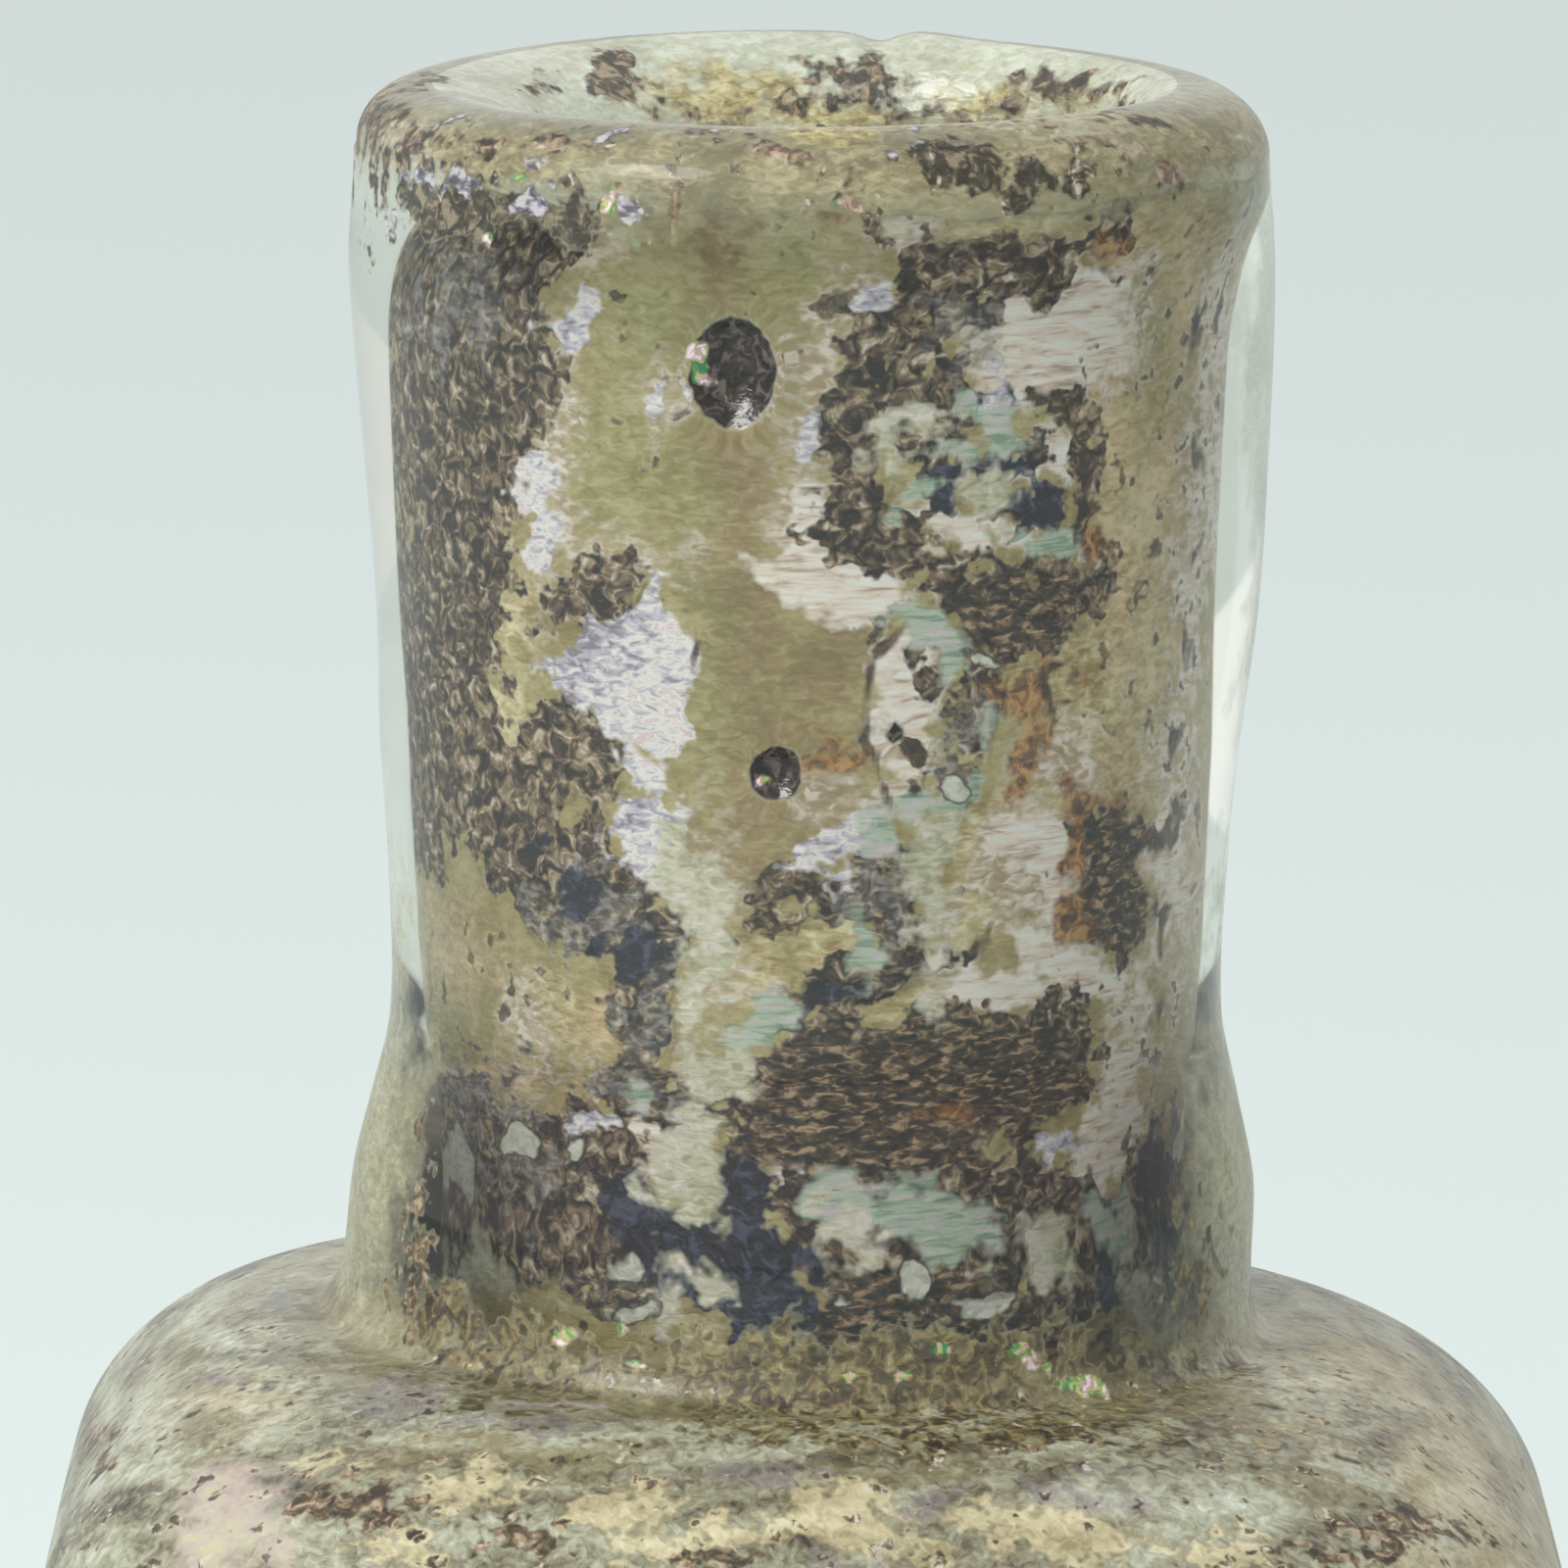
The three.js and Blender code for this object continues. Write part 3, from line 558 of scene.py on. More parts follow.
        (3.9, 9.0, 0.5, 0.4, -30), (2.4, 7.3, 0.5, 0.3, 0), (-1.6, 22.0, 0.4, 0.5, 0),
    ),
    "white_flake": (
        (-7.9, 24.6, 0.35, 0.75, -15), (-6.5, 24.0, 0.32, 0.28, 0), (-5.3, 23.7, 0.14, 0.16, 0),
        (-3.8, 27.1, 0.35, 0.22, 0), (2.2, 26.3, 0.2, 0.25, 40), (3.9, 26.6, 0.5, 0.16, -10),
        (-4.2, 26.1, 0.25, 0.12, 0), (-9.7, 26.2, 0.25, 0.22, 0), (8.5, 23.9, 0.16, 0.4, 20),
        (0.5, 26.6, 0.2, 0.14, 30), (4.0, 12.6, 0.25, 0.12, 20), (3.3, 15.5, 0.16, 0.2, 0),
    ),
    "amber": (
        (5.75, 16.3, 0.22, 0.8, 0), (5.85, 18.2, 0.28, 0.45, 0), (6.2, 15.7, 0.5, 0.16, -10),
        (5.7, 17.2, 0.16, 0.6, 0), (4.9, 13.35, 0.42, 0.42, 0), (4.9, 14.5, 0.14, 0.6, 8),
        (5.3, 14.3, 0.1, 0.5, -12), (4.4, 13.2, 0.3, 0.1, 0), (5.4, 12.9, 0.35, 0.08, 25),
        (0.45, 14.5, 0.5, 0.08, -22), (0.4, 14.8, 0.4, 0.07, -10), (3.0, 22.95, 0.4, 0.16, 0),
        (0.8, 2.8, 0.45, 0.28, 0), (6.3, 3.9, 0.25, 0.3, 0), (-0.3, 1.9, 0.5, 0.12, -15),
        (6.4, 10.1, 0.16, 0.25, 0),
    ),
}

# Patches on the outside and in the mouth, seen straight on
OUTER_PATCHES = {
    "side_haze": (
        (10.3, 6.5, 0.7, 5.0, 0), (10.2, 13.5, 0.7, 4.0, 0), (-10.1, 19.0, 0.5, 3.0, 4),
    ),
    "foot_film": (
        (-10.15, 24.6, 1.25, 4.6, 8), (10.0, 25.2, 1.5, 4.6, -6), (-9.6, 27.6, 2.2, 1.2, 0),
        (9.6, 27.8, 1.6, 1.0, 0), (-9.9, 21.4, 0.8, 3.4, 4), (10.0, 21.0, 0.9, 3.6, -4),
    ),
    "foot_crumbs": (
        (2.5, 28.3, 5.0, 0.8, 2), (-1.0, 28.7, 3.6, 0.7, 4), (6.6, 28.6, 2.4, 0.6, 2),
        (-5.5, 28.7, 1.6, 0.5, 6), (9.6, 28.4, 0.8, 0.4, 0), (4.8, 29.4, 3.0, 0.35, 4),
        (1.0, 29.6, 2.4, 0.3, 4), (9.0, 29.8, 2.0, 0.3, 4), (-8.3, 27.2, 0.6, 0.8, 0),
        (8.6, 26.6, 0.4, 1.2, 0), (-7.6, 28.0, 1.0, 0.4, 10), (-6.8, 27.6, 1.5, 0.6, 10),
    ),
    "shoulder_cream": (
        (-7.6, 31.0, 1.2, 0.5, 0), (-4.0, 31.4, 1.3, 0.5, 0), (0.8, 31.5, 1.5, 0.7, 5),
        (5.2, 31.9, 2.2, 0.6, 5), (-8.9, 32.2, 1.2, 0.3, -5), (-3.1, 32.4, 1.4, 0.3, 0),
        (9.0, 32.3, 1.4, 0.4, 5), (-11.0, 30.3, 0.9, 0.25, 0), (2.6, 32.5, 1.4, 0.3, 0),
        (-1.6, 31.9, 0.9, 0.4, 0),
    ),
    "shoulder_mauve": (
        (2.8, 31.3, 0.7, 0.4, 0), (-1.2, 30.5, 1.2, 0.3, 0), (-12.7, 28.5, 0.4, 0.2, 0),
        (-12.0, 31.0, 1.0, 0.6, 0), (0.8, 32.5, 0.8, 0.2, 0), (-6.0, 29.4, 1.6, 0.3, 5),
        (-9.2, 28.9, 0.9, 0.4, 0), (6.0, 30.9, 1.4, 0.25, 5),
    ),
    "shoulder_brown": (
        (-10.3, 31.1, 1.4, 0.5, 0), (-9.4, 31.6, 0.7, 0.3, 0), (12.9, 31.8, 1.3, 0.5, 0),
        (-15.6, 30.0, 0.3, 0.5, 0), (-6.2, 32.1, 1.0, 0.3, 0), (11.6, 32.5, 0.9, 0.3, 0),
        (-2.2, 32.6, 0.7, 0.2, 0), (-8.6, 25.2, 0.28, 1.8, 4),
    ),
    "shoulder_olive": (
        (-6.6, 30.25, 2.4, 0.4, 0), (-13.3, 29.65, 0.8, 0.6, 0), (-9.6, 28.2, 1.2, 0.5, 10),
        (-13.8, 28.0, 0.3, 0.4, 30), (9.2, 29.0, 1.2, 0.5, 0), (6.6, 28.6, 2.2, 0.5, 0),
        (-3.6, 29.0, 1.6, 0.4, 5), (11.4, 30.9, 1.4, 0.4, 8), (-10.6, 26.8, 0.7, 0.6, 0),
        (2.0, 30.5, 2.4, 0.25, 3),
    ),
    "shoulder_tan": (
        (14.6, 30.4, 2.0, 1.6, 0), (12.4, 28.2, 2.6, 0.8, 15), (15.6, 32.2, 1.6, 1.6, 0),
        (-12.6, 28.9, 1.2, 0.6, 0), (13.4, 32.6, 1.6, 0.5, 0), (-8.9, 30.3, 1.2, 0.3, -5),
        (10.6, 29.6, 1.0, 0.4, 0),
    ),
    "lip_coral": (
        (6.3, 1.05, 0.55, 0.14, 15), (7.2, 1.35, 0.4, 0.16, 20), (7.9, 1.8, 0.25, 0.2, 40),
        (0.75, 2.65, 0.4, 0.2, 0), (-4.6, 2.35, 0.3, 0.12, -30), (-3.4, 2.3, 0.3, 0.14, 35),
        (-0.6, 1.6, 0.5, 0.1, 0), (-2.95, 3.0, 0.1, 0.4, 0), (5.2, 1.6, 0.3, 0.2, 0),
        (-6.6, 0.95, 0.3, 0.08, 0),
    ),
    "shoulder_pink": (
        (-12.7, 31.4, 1.1, 1.0, 0), (-13.3, 32.4, 0.8, 0.8, 0), (-11.7, 32.2, 0.4, 0.4, 0),
    ),
    "lip_yellow": (
        (-1.9, 0.3, 1.9, 0.6, 3), (0.4, 0.75, 2.2, 0.4, 0), (-3.2, 0.2, 0.9, 0.45, 10),
        (3.9, 0.5, 1.6, 0.4, 0), (5.8, 0.3, 0.8, 0.3, 0),
    ),
    "lip_brown": (
        (-8.9, 1.5, 0.8, 0.2, -10), (-7.2, 1.25, 0.7, 0.14, -5), (-5.8, 1.3, 0.5, 0.16, 10),
        (0.9, 0.1, 1.1, 0.4, 8), (1.6, -0.25, 0.7, 0.3, 20), (2.6, 0.5, 0.8, 0.22, 5),
        (3.9, 0.62, 1.0, 0.15, 0), (5.3, 0.1, 0.8, 0.35, 0), (-6.0, -0.08, 0.35, 0.2, 40),
        (-4.38, -0.28, 0.6, 0.52, 0), (-3.6, 0.3, 0.3, 0.2, 0), (-8.5, -0.05, 0.5, 0.12, 0),
        (-9.6, 1.0, 0.3, 1.2, 0), (-8.6, 1.2, 0.4, 0.4, 0), (0.0, 0.55, 0.8, 0.12, 0),
        (-2.2, 0.55, 0.5, 0.15, 0), (7.1, 0.6, 0.5, 0.15, 20), (6.6, 0.15, 0.4, 0.1, -20),
        (-8.9, 1.7, 0.4, 0.5, 0), (-7.2, 1.35, 0.6, 0.12, 0), (-5.4, 1.4, 0.5, 0.1, 0),
        (-9.2, 0.4, 0.2, 0.4, 0),
    ),
    "lip_crust": (
        (-7.2, 2.9, 1.7, 0.6, -5), (-8.6, 2.4, 0.6, 0.5, 0), (-8.0, 1.9, 0.9, 0.18, 5),
        (3.3, 1.75, 1.45, 0.5, 8), (4.9, 2.15, 0.7, 0.4, 12), (4.6, 2.5, 0.3, 0.4, -20),
        (5.9, 2.2, 0.12, 0.9, -15), (-5.0, 3.1, 0.4, 0.7, 15), (-5.2, 2.4, 0.4, 0.2, 0),
        (-0.9, 1.5, 0.7, 0.12, 10), (-2.3, 1.1, 0.45, 0.12, 0), (0.7, 2.2, 0.6, 0.1, -35),
        (-7.8, 0.95, 0.3, 0.12, 0), (-4.3, 1.05, 0.6, 0.16, 0), (-9.7, 2.2, 0.16, 0.9, 0),
        (7.4, 1.7, 0.5, 0.12, 35), (-6.5, 1.0, 0.2, 0.1, 0), (6.4, 1.25, 0.6, 0.1, 10),
        (1.4, 3.4, 0.12, 0.6, -30),
    ),
    # Lilac-grey flakes on the lip, with painted glints
    "lip_silver": (
        (-8.5, 2.1, 0.5, 0.2, 0), (-7.7, 2.2, 0.4, 0.25, 0), (-6.1, 2.7, 0.35, 0.4, 0),
        (-6.2, 1.8, 0.35, 0.16, 0), (-4.25, 1.05, 0.42, 0.08, 0), (-9.2, 3.0, 0.2, 0.25, 0),
        (2.2, 1.4, 0.3, 0.12, 0), (-7.8, 0.9, 0.2, 0.07, 0), (4.4, 1.7, 0.35, 0.12, 0),
        (-2.4, 1.05, 0.25, 0.07, 0), (-3.9, 2.8, 0.4, 0.3, 0),
    ),
    "specks": (
        (-6.0, 1.9, 3.2, 0.7, 0), (-1.2, 1.7, 2.4, 0.6, 0), (5.4, 1.7, 3.0, 0.7, 0),
        (2.0, 2.6, 2.2, 0.6, 0), (-8.0, 29.6, 6.0, 1.6, 10), (8.0, 29.8, 6.0, 1.6, -8),
        (0.0, 30.4, 6.0, 1.2, 0), (0.0, 32.6, 14.0, 1.2, 0), (-13.6, 31.4, 2.4, 2.4, 0),
        (13.6, 31.2, 2.4, 2.4, 0),
    ),
    # Painted glints: small bright spots, green, pink and white, on the bubbles, the lip and the neck's foot
    "sparkle": (
        (-5.2, 27.6, 0.3, 0.22, 30), (-4.15, 27.6, 0.16, 0.2, 0), (-3.8, 28.3, 0.2, 0.1, 0),
        (5.4, 28.3, 0.9, 0.2, 8), (6.2, 28.6, 0.5, 0.18, 12), (2.85, 27.9, 0.16, 0.16, 0),
        (1.1, 28.5, 0.35, 0.16, 0), (2.1, 28.6, 0.35, 0.18, 0), (-2.25, 6.25, 0.26, 0.44, 0),
        (-1.85, 7.0, 0.16, 0.14, 0), (-3.9, 3.45, 0.45, 0.1, -8), (-6.6, 2.0, 0.22, 0.16, 0),
        (-4.6, 2.75, 0.12, 0.35, 0), (0.6, 2.5, 0.2, 0.1, 20), (-0.9, 15.35, 0.14, 0.14, 0),
        (-6.9, 3.6, 0.12, 0.1, 0),
    ),
}

# Burst bubbles in the outside: (right, below, half width, half height, depth)
BUBBLES = ((-1.7, 6.4, 1.0, 1.25, 0.5), (-0.75, 15.2, 0.62, 0.62, 0.35), (1.9, 14.3, 0.2, 0.25, 0.15))

# A layer of a finish. Its field says where it lies. Its edge is ragged and soft by so many millimetres,
# and may have a dark line of painted shadow round it. A noise picks its colour, from dark to light, by each
# colour's place on that noise. It stands up by its height in millimetres, and covers what is under it up to
# its greatest share.
Layer = namedtuple(
    "Layer", "field ragged soft noise roughness colours line height most", defaults=(0.0, 0.0, 1.0))

# Layers from the first to the last laid
INNER_LAYERS = (
    Layer("brown_streak", ragged=0.5, soft=1.2, noise="film", roughness=0.45, most=0.8,
          colours=((0.4, "86704b"), (0.5, "9c835c"), (0.6, "b29d78"))),
    Layer("tan_film", ragged=0.6, soft=1.0, noise="film", roughness=0.45, most=0.85,
          colours=((0.36, "ab8e66"), (0.48, "dfc299"), (0.6, "fbe6c4"))),
    Layer("moss_green", ragged=0.5, soft=1.0, noise="film", roughness=0.45, most=0.7,
          colours=((0.4, "8a8a50"), (0.5, "a3a168"), (0.6, "bcb98b"))),
    Layer("straw", ragged=0.3, soft=0.5, noise="film", roughness=0.5,
          colours=((0.36, "a38c58"), (0.48, "d3c294"), (0.58, "f0e7c6"))),
    Layer("pale_bloom", ragged=0.5, soft=0.7, noise="glints", roughness=0.4, height=0.02, most=0.75,
          colours=((0.39, "b8a288"), (0.48, "d6c6b6"), (0.55, "ebddd6"), (0.63, "fff6f6"))),
    Layer("pink_cream", ragged=0.3, soft=0.25, noise="lines", roughness=0.5, height=0.03,
          colours=((0.3, "bfa796"), (0.4, "ecdad0"), (0.5, "fcefe9"), (0.6, "fffcfb"))),
    Layer("freckles", ragged=1.1, soft=0.25, noise="grains", roughness=0.6, height=0.06, most=0.85,
          colours=((0.39, "2b2219"), (0.5, "54442f"), (0.61, "8a7450"))),
    Layer("crust", ragged=0.34, soft=0.1, noise="grains", roughness=0.65, height=0.1,
          colours=((0.36, "1d1614"), (0.44, "3f332d"), (0.5, "655548"),
                   (0.56, "8b7862"), (0.62, "b3a088"), (0.71, "e0d6cc"))),
    Layer("brown_crust", ragged=0.3, soft=0.3, noise="ripples", roughness=0.65, height=0.1, most=0.92,
          colours=((0.38, "140f0d"), (0.46, "31271f"), (0.53, "544337"), (0.58, "82694e"), (0.66, "c0a588"))),
    Layer("grey_bloom", ragged=0.8, soft=0.3, noise="glints", roughness=0.45, height=0.04, most=0.4,
          colours=((0.39, "5c5b60"), (0.48, "84838a"), (0.55, "a6a4a8"), (0.63, "d2cfd2"))),
    Layer("navy", ragged=0.25, soft=0.1, noise="grains", roughness=0.55, height=0.08,
          colours=((0.38, "0f1020"), (0.52, "20223a"), (0.63, "4c506c"))),
    # Lilac and silver flakes, with painted white glints on them
    Layer("lilac_silver", ragged=0.24, soft=0.12, noise="film", roughness=0.3, height=0.03,
          colours=((0.37, "8f8a9c"), (0.42, "bcb6cc"), (0.47, "dad5e8"),
                   (0.51, "f6f0f6"), (0.55, "fffdff"), (0.6, "ecd2e0"), (0.65, "ffffff"))),
    Layer("turquoise", ragged=0.25, soft=0.2, noise="lines", roughness=0.4, height=0.02, most=0.95,
          colours=((0.37, "8fa898"), (0.45, "b0c8b6"), (0.52, "c8d9c8"), (0.58, "cfd1d2"), (0.66, "e6d9de"))),
    Layer("pale_green", ragged=0.35, soft=0.25, noise="film", roughness=0.5, height=0.02,
          colours=((0.39, "b4b294"), (0.45, "d0cdb4"), (0.51, "dfdccb"), (0.56, "ece6dc"), (0.63, "faf2ee"))),
    # White flakes, each with a painted shadow line round it
    Layer("white_flake", ragged=0.1, soft=0.06, noise="glints", roughness=0.4, line=0.05, height=0.05,
          colours=((0.33, "c3c6bb"), (0.5, "e2e4da"), (0.7, "f3f4ef"))),
    Layer("amber", ragged=0.2, soft=0.2, noise="grains", roughness=0.4, height=0.02, most=0.9,
          colours=((0.39, "54351a"), (0.5, "9a642c"), (0.61, "cf9c62"))),
    Layer("crack_line", ragged=0.04, soft=0.08, noise="grains", roughness=0.5, most=0.95,
          colours=((0.39, "2a1f15"), (0.5, "46351f"), (0.61, "6b5334"))),
)
OUTER_LAYERS = (
    Layer("lip_film", ragged=0.35, soft=1.2, noise="film", roughness=0.5, most=0.8,
          colours=((0.4, "635a3e"), (0.5, "807653"), (0.6, "a09673"))),
    Layer("lip_haze", ragged=0.25, soft=0.5, noise="film", roughness=0.25, most=0.75,
          colours=((0.38, "6c6c58"), (0.5, "7e806b"), (0.62, "939785"))),
    Layer("mouth_haze", ragged=0.3, soft=0.6, noise="film", roughness=0.3, most=0.85,
          colours=((0.38, "a0a58f"), (0.5, "b6bba8"), (0.62, "cad0c2"))),
    Layer("side_haze", ragged=0.1, soft=0.4, noise="film", roughness=0.2, most=0.55,
          colours=((0.38, "8a8e86"), (0.5, "9ea299"), (0.62, "b2b6ac"))),
    Layer("foot_film", ragged=0.3, soft=0.9, noise="film", roughness=0.35, most=0.9,
          colours=((0.38, "767150"), (0.5, "8b876a"), (0.62, "a2a082"))),
    Layer("burial", ragged=0.7, soft=0.6, noise="swept", roughness=0.35, height=0.05,
          colours=((0.31, "332d24"), (0.4, "5e5947"), (0.47, "7c7a64"),
                   (0.56, "969883"), (0.66, "aeb2a2"), (0.77, "cdd0c6"))),
    Layer("foot_crumbs", ragged=0.6, soft=0.3, noise="grains", roughness=0.5, height=0.05, most=0.9,
          colours=((0.34, "211910"), (0.46, "463a25"), (0.54, "6b5e3a"), (0.65, "877c55"), (0.73, "a39b7c"))),
    Layer("shoulder_tan", ragged=0.6, soft=0.8, noise="swept", roughness=0.4, height=0.03, most=0.85,
          colours=((0.34, "6e6248"), (0.47, "958a69"), (0.59, "aea588"), (0.74, "c0bba3"))),
    Layer("shoulder_olive", ragged=0.45, soft=0.3, noise="swept", roughness=0.4, height=0.03, most=0.85,
          colours=((0.34, "4c4530"), (0.5, "716a4c"), (0.67, "8f8a6c"))),
    # Cream flakes, each with a painted shadow line round it
    Layer("shoulder_cream", ragged=0.4, soft=0.25, noise="swept", roughness=0.4,
          line=0.04, height=0.04, most=0.95,
          colours=((0.34, "8a805f"), (0.45, "a89f7e"), (0.58, "c0b896"), (0.71, "cfcab2"))),
    Layer("shoulder_mauve", ragged=0.4, soft=0.3, noise="swept", roughness=0.4, height=0.04, most=0.85,
          colours=((0.34, "5d5852"), (0.5, "7b7672"), (0.65, "979390"))),
    Layer("shoulder_brown", ragged=0.4, soft=0.15, noise="grains", roughness=0.5, height=0.06, most=0.95,
          colours=((0.37, "281f15"), (0.48, "4d3f2b"), (0.56, "75634a"), (0.66, "a08f78"))),
    Layer("shoulder_pink", ragged=0.3, soft=0.6, noise="film", roughness=0.4, height=0.02, most=0.85,
          colours=((0.38, "a3948a"), (0.5, "b0a39a"), (0.62, "b5ae90"))),
    Layer("lip_yellow", ragged=0.3, soft=0.5, noise="film", roughness=0.4, most=0.9,
          colours=((0.4, "6f5c2c"), (0.47, "95844a"), (0.53, "b3a66c"), (0.61, "c9c39a"))),
    Layer("lip_brown", ragged=0.25, soft=0.15, noise="grains", roughness=0.5, height=0.06, most=0.95,
          colours=((0.39, "211a13"), (0.48, "40352a"), (0.56, "6a5b48"), (0.64, "93836c"))),
    Layer("lip_crust", ragged=0.25, soft=0.12, noise="grains", roughness=0.5, height=0.06, most=0.95,
          colours=((0.39, "171411"), (0.48, "302a23"), (0.55, "50473a"), (0.63, "7d735f"))),
    Layer("specks", ragged=1.1, soft=0.2, noise="grains", roughness=0.5, height=0.04, most=0.85,
          colours=((0.39, "241c14"), (0.48, "4a3f30"), (0.55, "7e745f"), (0.61, "b5b09f"))),
    Layer("lip_coral", ragged=0.15, soft=0.15, noise="grains", roughness=0.4, height=0.03, most=0.85,
          colours=((0.39, "4e382a"), (0.5, "846753"), (0.61, "b09c8a"))),
    # Lilac-grey flakes on the lip, with painted glints
    Layer("lip_silver", ragged=0.22, soft=0.12, noise="glints", roughness=0.35, height=0.03, most=0.9,
          colours=((0.36, "47434f"), (0.44, "6c6976"), (0.51, "8d8a93"), (0.58, "b5b1b6"))),
    # The burst bubbles' hollows, painted near black: painted shade
    Layer("pit", ragged=0.05, soft=0.1, noise="grains", roughness=0.2,
          colours=((0.39, "151210"), (0.5, "2b2522"), (0.61, "574c48"))),
    # Painted glints, green, pink and white
    Layer("sparkle", ragged=0.1, soft=0.08, noise="grains", roughness=0.25, height=0.03,
          colours=((0.39, "3c7d55"), (0.47, "7f9e55"), (0.52, "b0ba72"), (0.57, "b47c8c"), (0.64, "dccfd2"))),
)

# The thin film under all layers, on the deposit and on the covered glass, and the painted shadow round a flake
OLIVE_FILM = ((0.33, "968757"), (0.5, "b4a676"), (0.67, "cdc49b"))
SILT_FILM = ((0.33, "8f8d70"), (0.5, "a9a789"), (0.67, "c0c0a8"))
FLAKE_SHADOW = "3b3328"

# Noises that the layers share: feature size in millimetres, detail, distortion and stretch along x, y and z
NOISES = {
    "edges": (0.6, 2, 0.0, (1, 1, 1)),
    "grains": (0.34, 2, 0.9, (1, 1, 1)),
    "ripples": (0.24, 2, 0.6, (0.7, 0.7, 1.4)),
    "lines": (0.26, 2, 0.5, (0.3, 0.3, 1.8)),
    "glints": (0.24, 1, 0.6, (0.8, 0.8, 1.3)),
}


def linear(hex_colour):
    """An sRGB hex colour as the linear colour, with full alpha, that a shader takes."""
    parts = [int(hex_colour[i:i + 2], 16) / 255 for i in (0, 2, 4)]
    return [p / 12.92 if p <= 0.04045 else ((p + 0.055) / 1.055) ** 2.4 for p in parts] + [1.0]


def node(tree, kind, settings=(), links=()):
    """Adds a node, sets its options and sockets by name or number, and links what comes in.

    Colours are the stops of a ramp, each a position and a hex colour.
    """
    made = tree.nodes.new(kind)
    for key, value in dict(settings).items():
        if key == "colours":
            for _ in value[2:]:
                made.color_ramp.elements.new(0.5)
            for stop, (position, hex_colour) in zip(made.color_ramp.elements, value):
                stop.position = position
                stop.color = linear(hex_colour)
        elif isinstance(key, str) and hasattr(made, key):
            setattr(made, key, value)
        else:
            made.inputs[key].default_value = value
    for key, source in dict(links).items():
        tree.links.new(source, made.inputs[key])
    return made


def make_noises(tree):
    """The shared noises, each feature at its real size in the piece's own metres, and the mixes of them."""
    place_on = node(tree, "ShaderNodeTexCoord").outputs["Object"]
    made = {}
    for name, (size, detail, distortion, stretch) in NOISES.items():
        turned = node(tree, "ShaderNodeMapping", {"Scale": stretch}, {"Vector": place_on})
        made[name] = node(
            tree, "ShaderNodeTexNoise",
            {"Scale": 1 / (size * MM), "Detail": detail, "Roughness": 0.6, "Distortion": distortion},
            {"Vector": turned.outputs[0]},
        ).outputs[0]
    for name, field, fine, share in (("film", "mottle", "ripples", 0.55), ("swept", "sweep", "grains", 0.5)):
        broad = node(tree, "ShaderNodeAttribute", {"attribute_name": field}).outputs["Fac"]
        made[name] = node(
            tree, "ShaderNodeMix", {"data_type": "FLOAT", 0: share}, {2: broad, 3: made[fine]}).outputs[0]
    return made


def lay_layers(tree, noises, layers, colour, roughness):
    """Lays each layer over the last by its mask, and gives colour, roughness and cover of them all."""
    cover = None
    for layer in layers:
        depth = node(tree, "ShaderNodeAttribute", {"attribute_name": layer.field}).outputs["Fac"]
        torn = node(
            tree, "ShaderNodeMath",
            {"operation": "MULTIPLY_ADD", 1: 5 * layer.ragged, 2: 0.5 * layer.soft - 2.5 * layer.ragged},
            {0: noises["edges"]},
        ).outputs[0]
        inside = node(tree, "ShaderNodeMath", {"operation": "ADD"}, {0: depth, 1: torn}).outputs[0]
        mask = node(
            tree, "ShaderNodeMath",
            {"operation": "MULTIPLY", "use_clamp": True, 1: 1 / layer.soft}, {0: inside}).outputs[0]
        # A dark band just outside the layer's edge: painted shadow round a flake
        if layer.line:
            per_mm = 1 / layer.soft
            shadow_edge = node(
                tree, "ShaderNodeMath",
                {"operation": "MULTIPLY_ADD", "use_clamp": True, 1: per_mm, 2: layer.line * per_mm},
                {0: inside},
            ).outputs[0]
            colour = node(
                tree, "ShaderNodeMix", {"data_type": "RGBA", 7: linear(FLAKE_SHADOW)}, {0: shadow_edge, 6: colour},
            ).outputs[2]
        if layer.most < 1:
            mask = node(
                tree, "ShaderNodeMath", {"operation": "MULTIPLY", 1: layer.most}, {0: mask}).outputs[0]
        tint = node(
            tree, "ShaderNodeValToRGB", {"colours": layer.colours}, {0: noises[layer.noise]}).outputs[0]
        colour = node(
            tree, "ShaderNodeMix", {"data_type": "RGBA"}, {0: mask, 6: colour, 7: tint}).outputs[2]
        roughness = node(tree, "ShaderNodeMix", {3: layer.roughness}, {0: mask, 2: roughness}).outputs[0]
        if cover is None:
            cover = mask
        else:
            cover = node(tree, "ShaderNodeMath", {"operation": "MAXIMUM"}, {0: cover, 1: mask}).outputs[0]
    return colour, roughness, cover


def new_material(name):
    material = bpy.data.materials.new(name)
    material.use_nodes = True
    material.node_tree.nodes.clear()
    return material


def finish_layers(tree, layers, ground):
    """A Principled surface of a thin film with the layers over it, and how far the layers cover the glass.

    Its bump is the relief that the layers build up, broken into grains, and a faint ripple all over.
    """
    noises = make_noises(tree)
    film = node(tree, "ShaderNodeValToRGB", {"colours": ground}, {0: noises["film"]}).outputs[0]
    film_roughness = node(
        tree, "ShaderNodeMath",
        {"operation": "MULTIPLY_ADD", 1: 0.3, 2: 0.3}, {0: noises["ripples"]}).outputs[0]
    colour, roughness, cover = lay_layers(tree, noises, layers, film, film_roughness)
    relief = node(tree, "ShaderNodeAttribute", {"attribute_name": "relief"}).outputs["Fac"]
    rippled = node(
        tree, "ShaderNodeMath",
        {"operation": "MULTIPLY_ADD", 1: RIPPLE_HEIGHT}, {0: noises["ripples"], 2: relief}).outputs[0]
    grainy = node(
        tree, "ShaderNodeMath", {"operation": "MULTIPLY_ADD"},
        {0: relief, 1: noises["grains"], 2: rippled}).outputs[0]
    bump = node(
        tree, "ShaderNodeBump", {"Strength": BUMP_STRENGTH, "Distance": MM}, {"Height": grainy}).outputs[0]
    surface = node(
        tree, "ShaderNodeBsdfPrincipled", {"IOR": GLASS_IOR},
        {"Base Color": colour, "Roughness": roughness, "Normal": bump}).outputs[0]
    return surface, cover


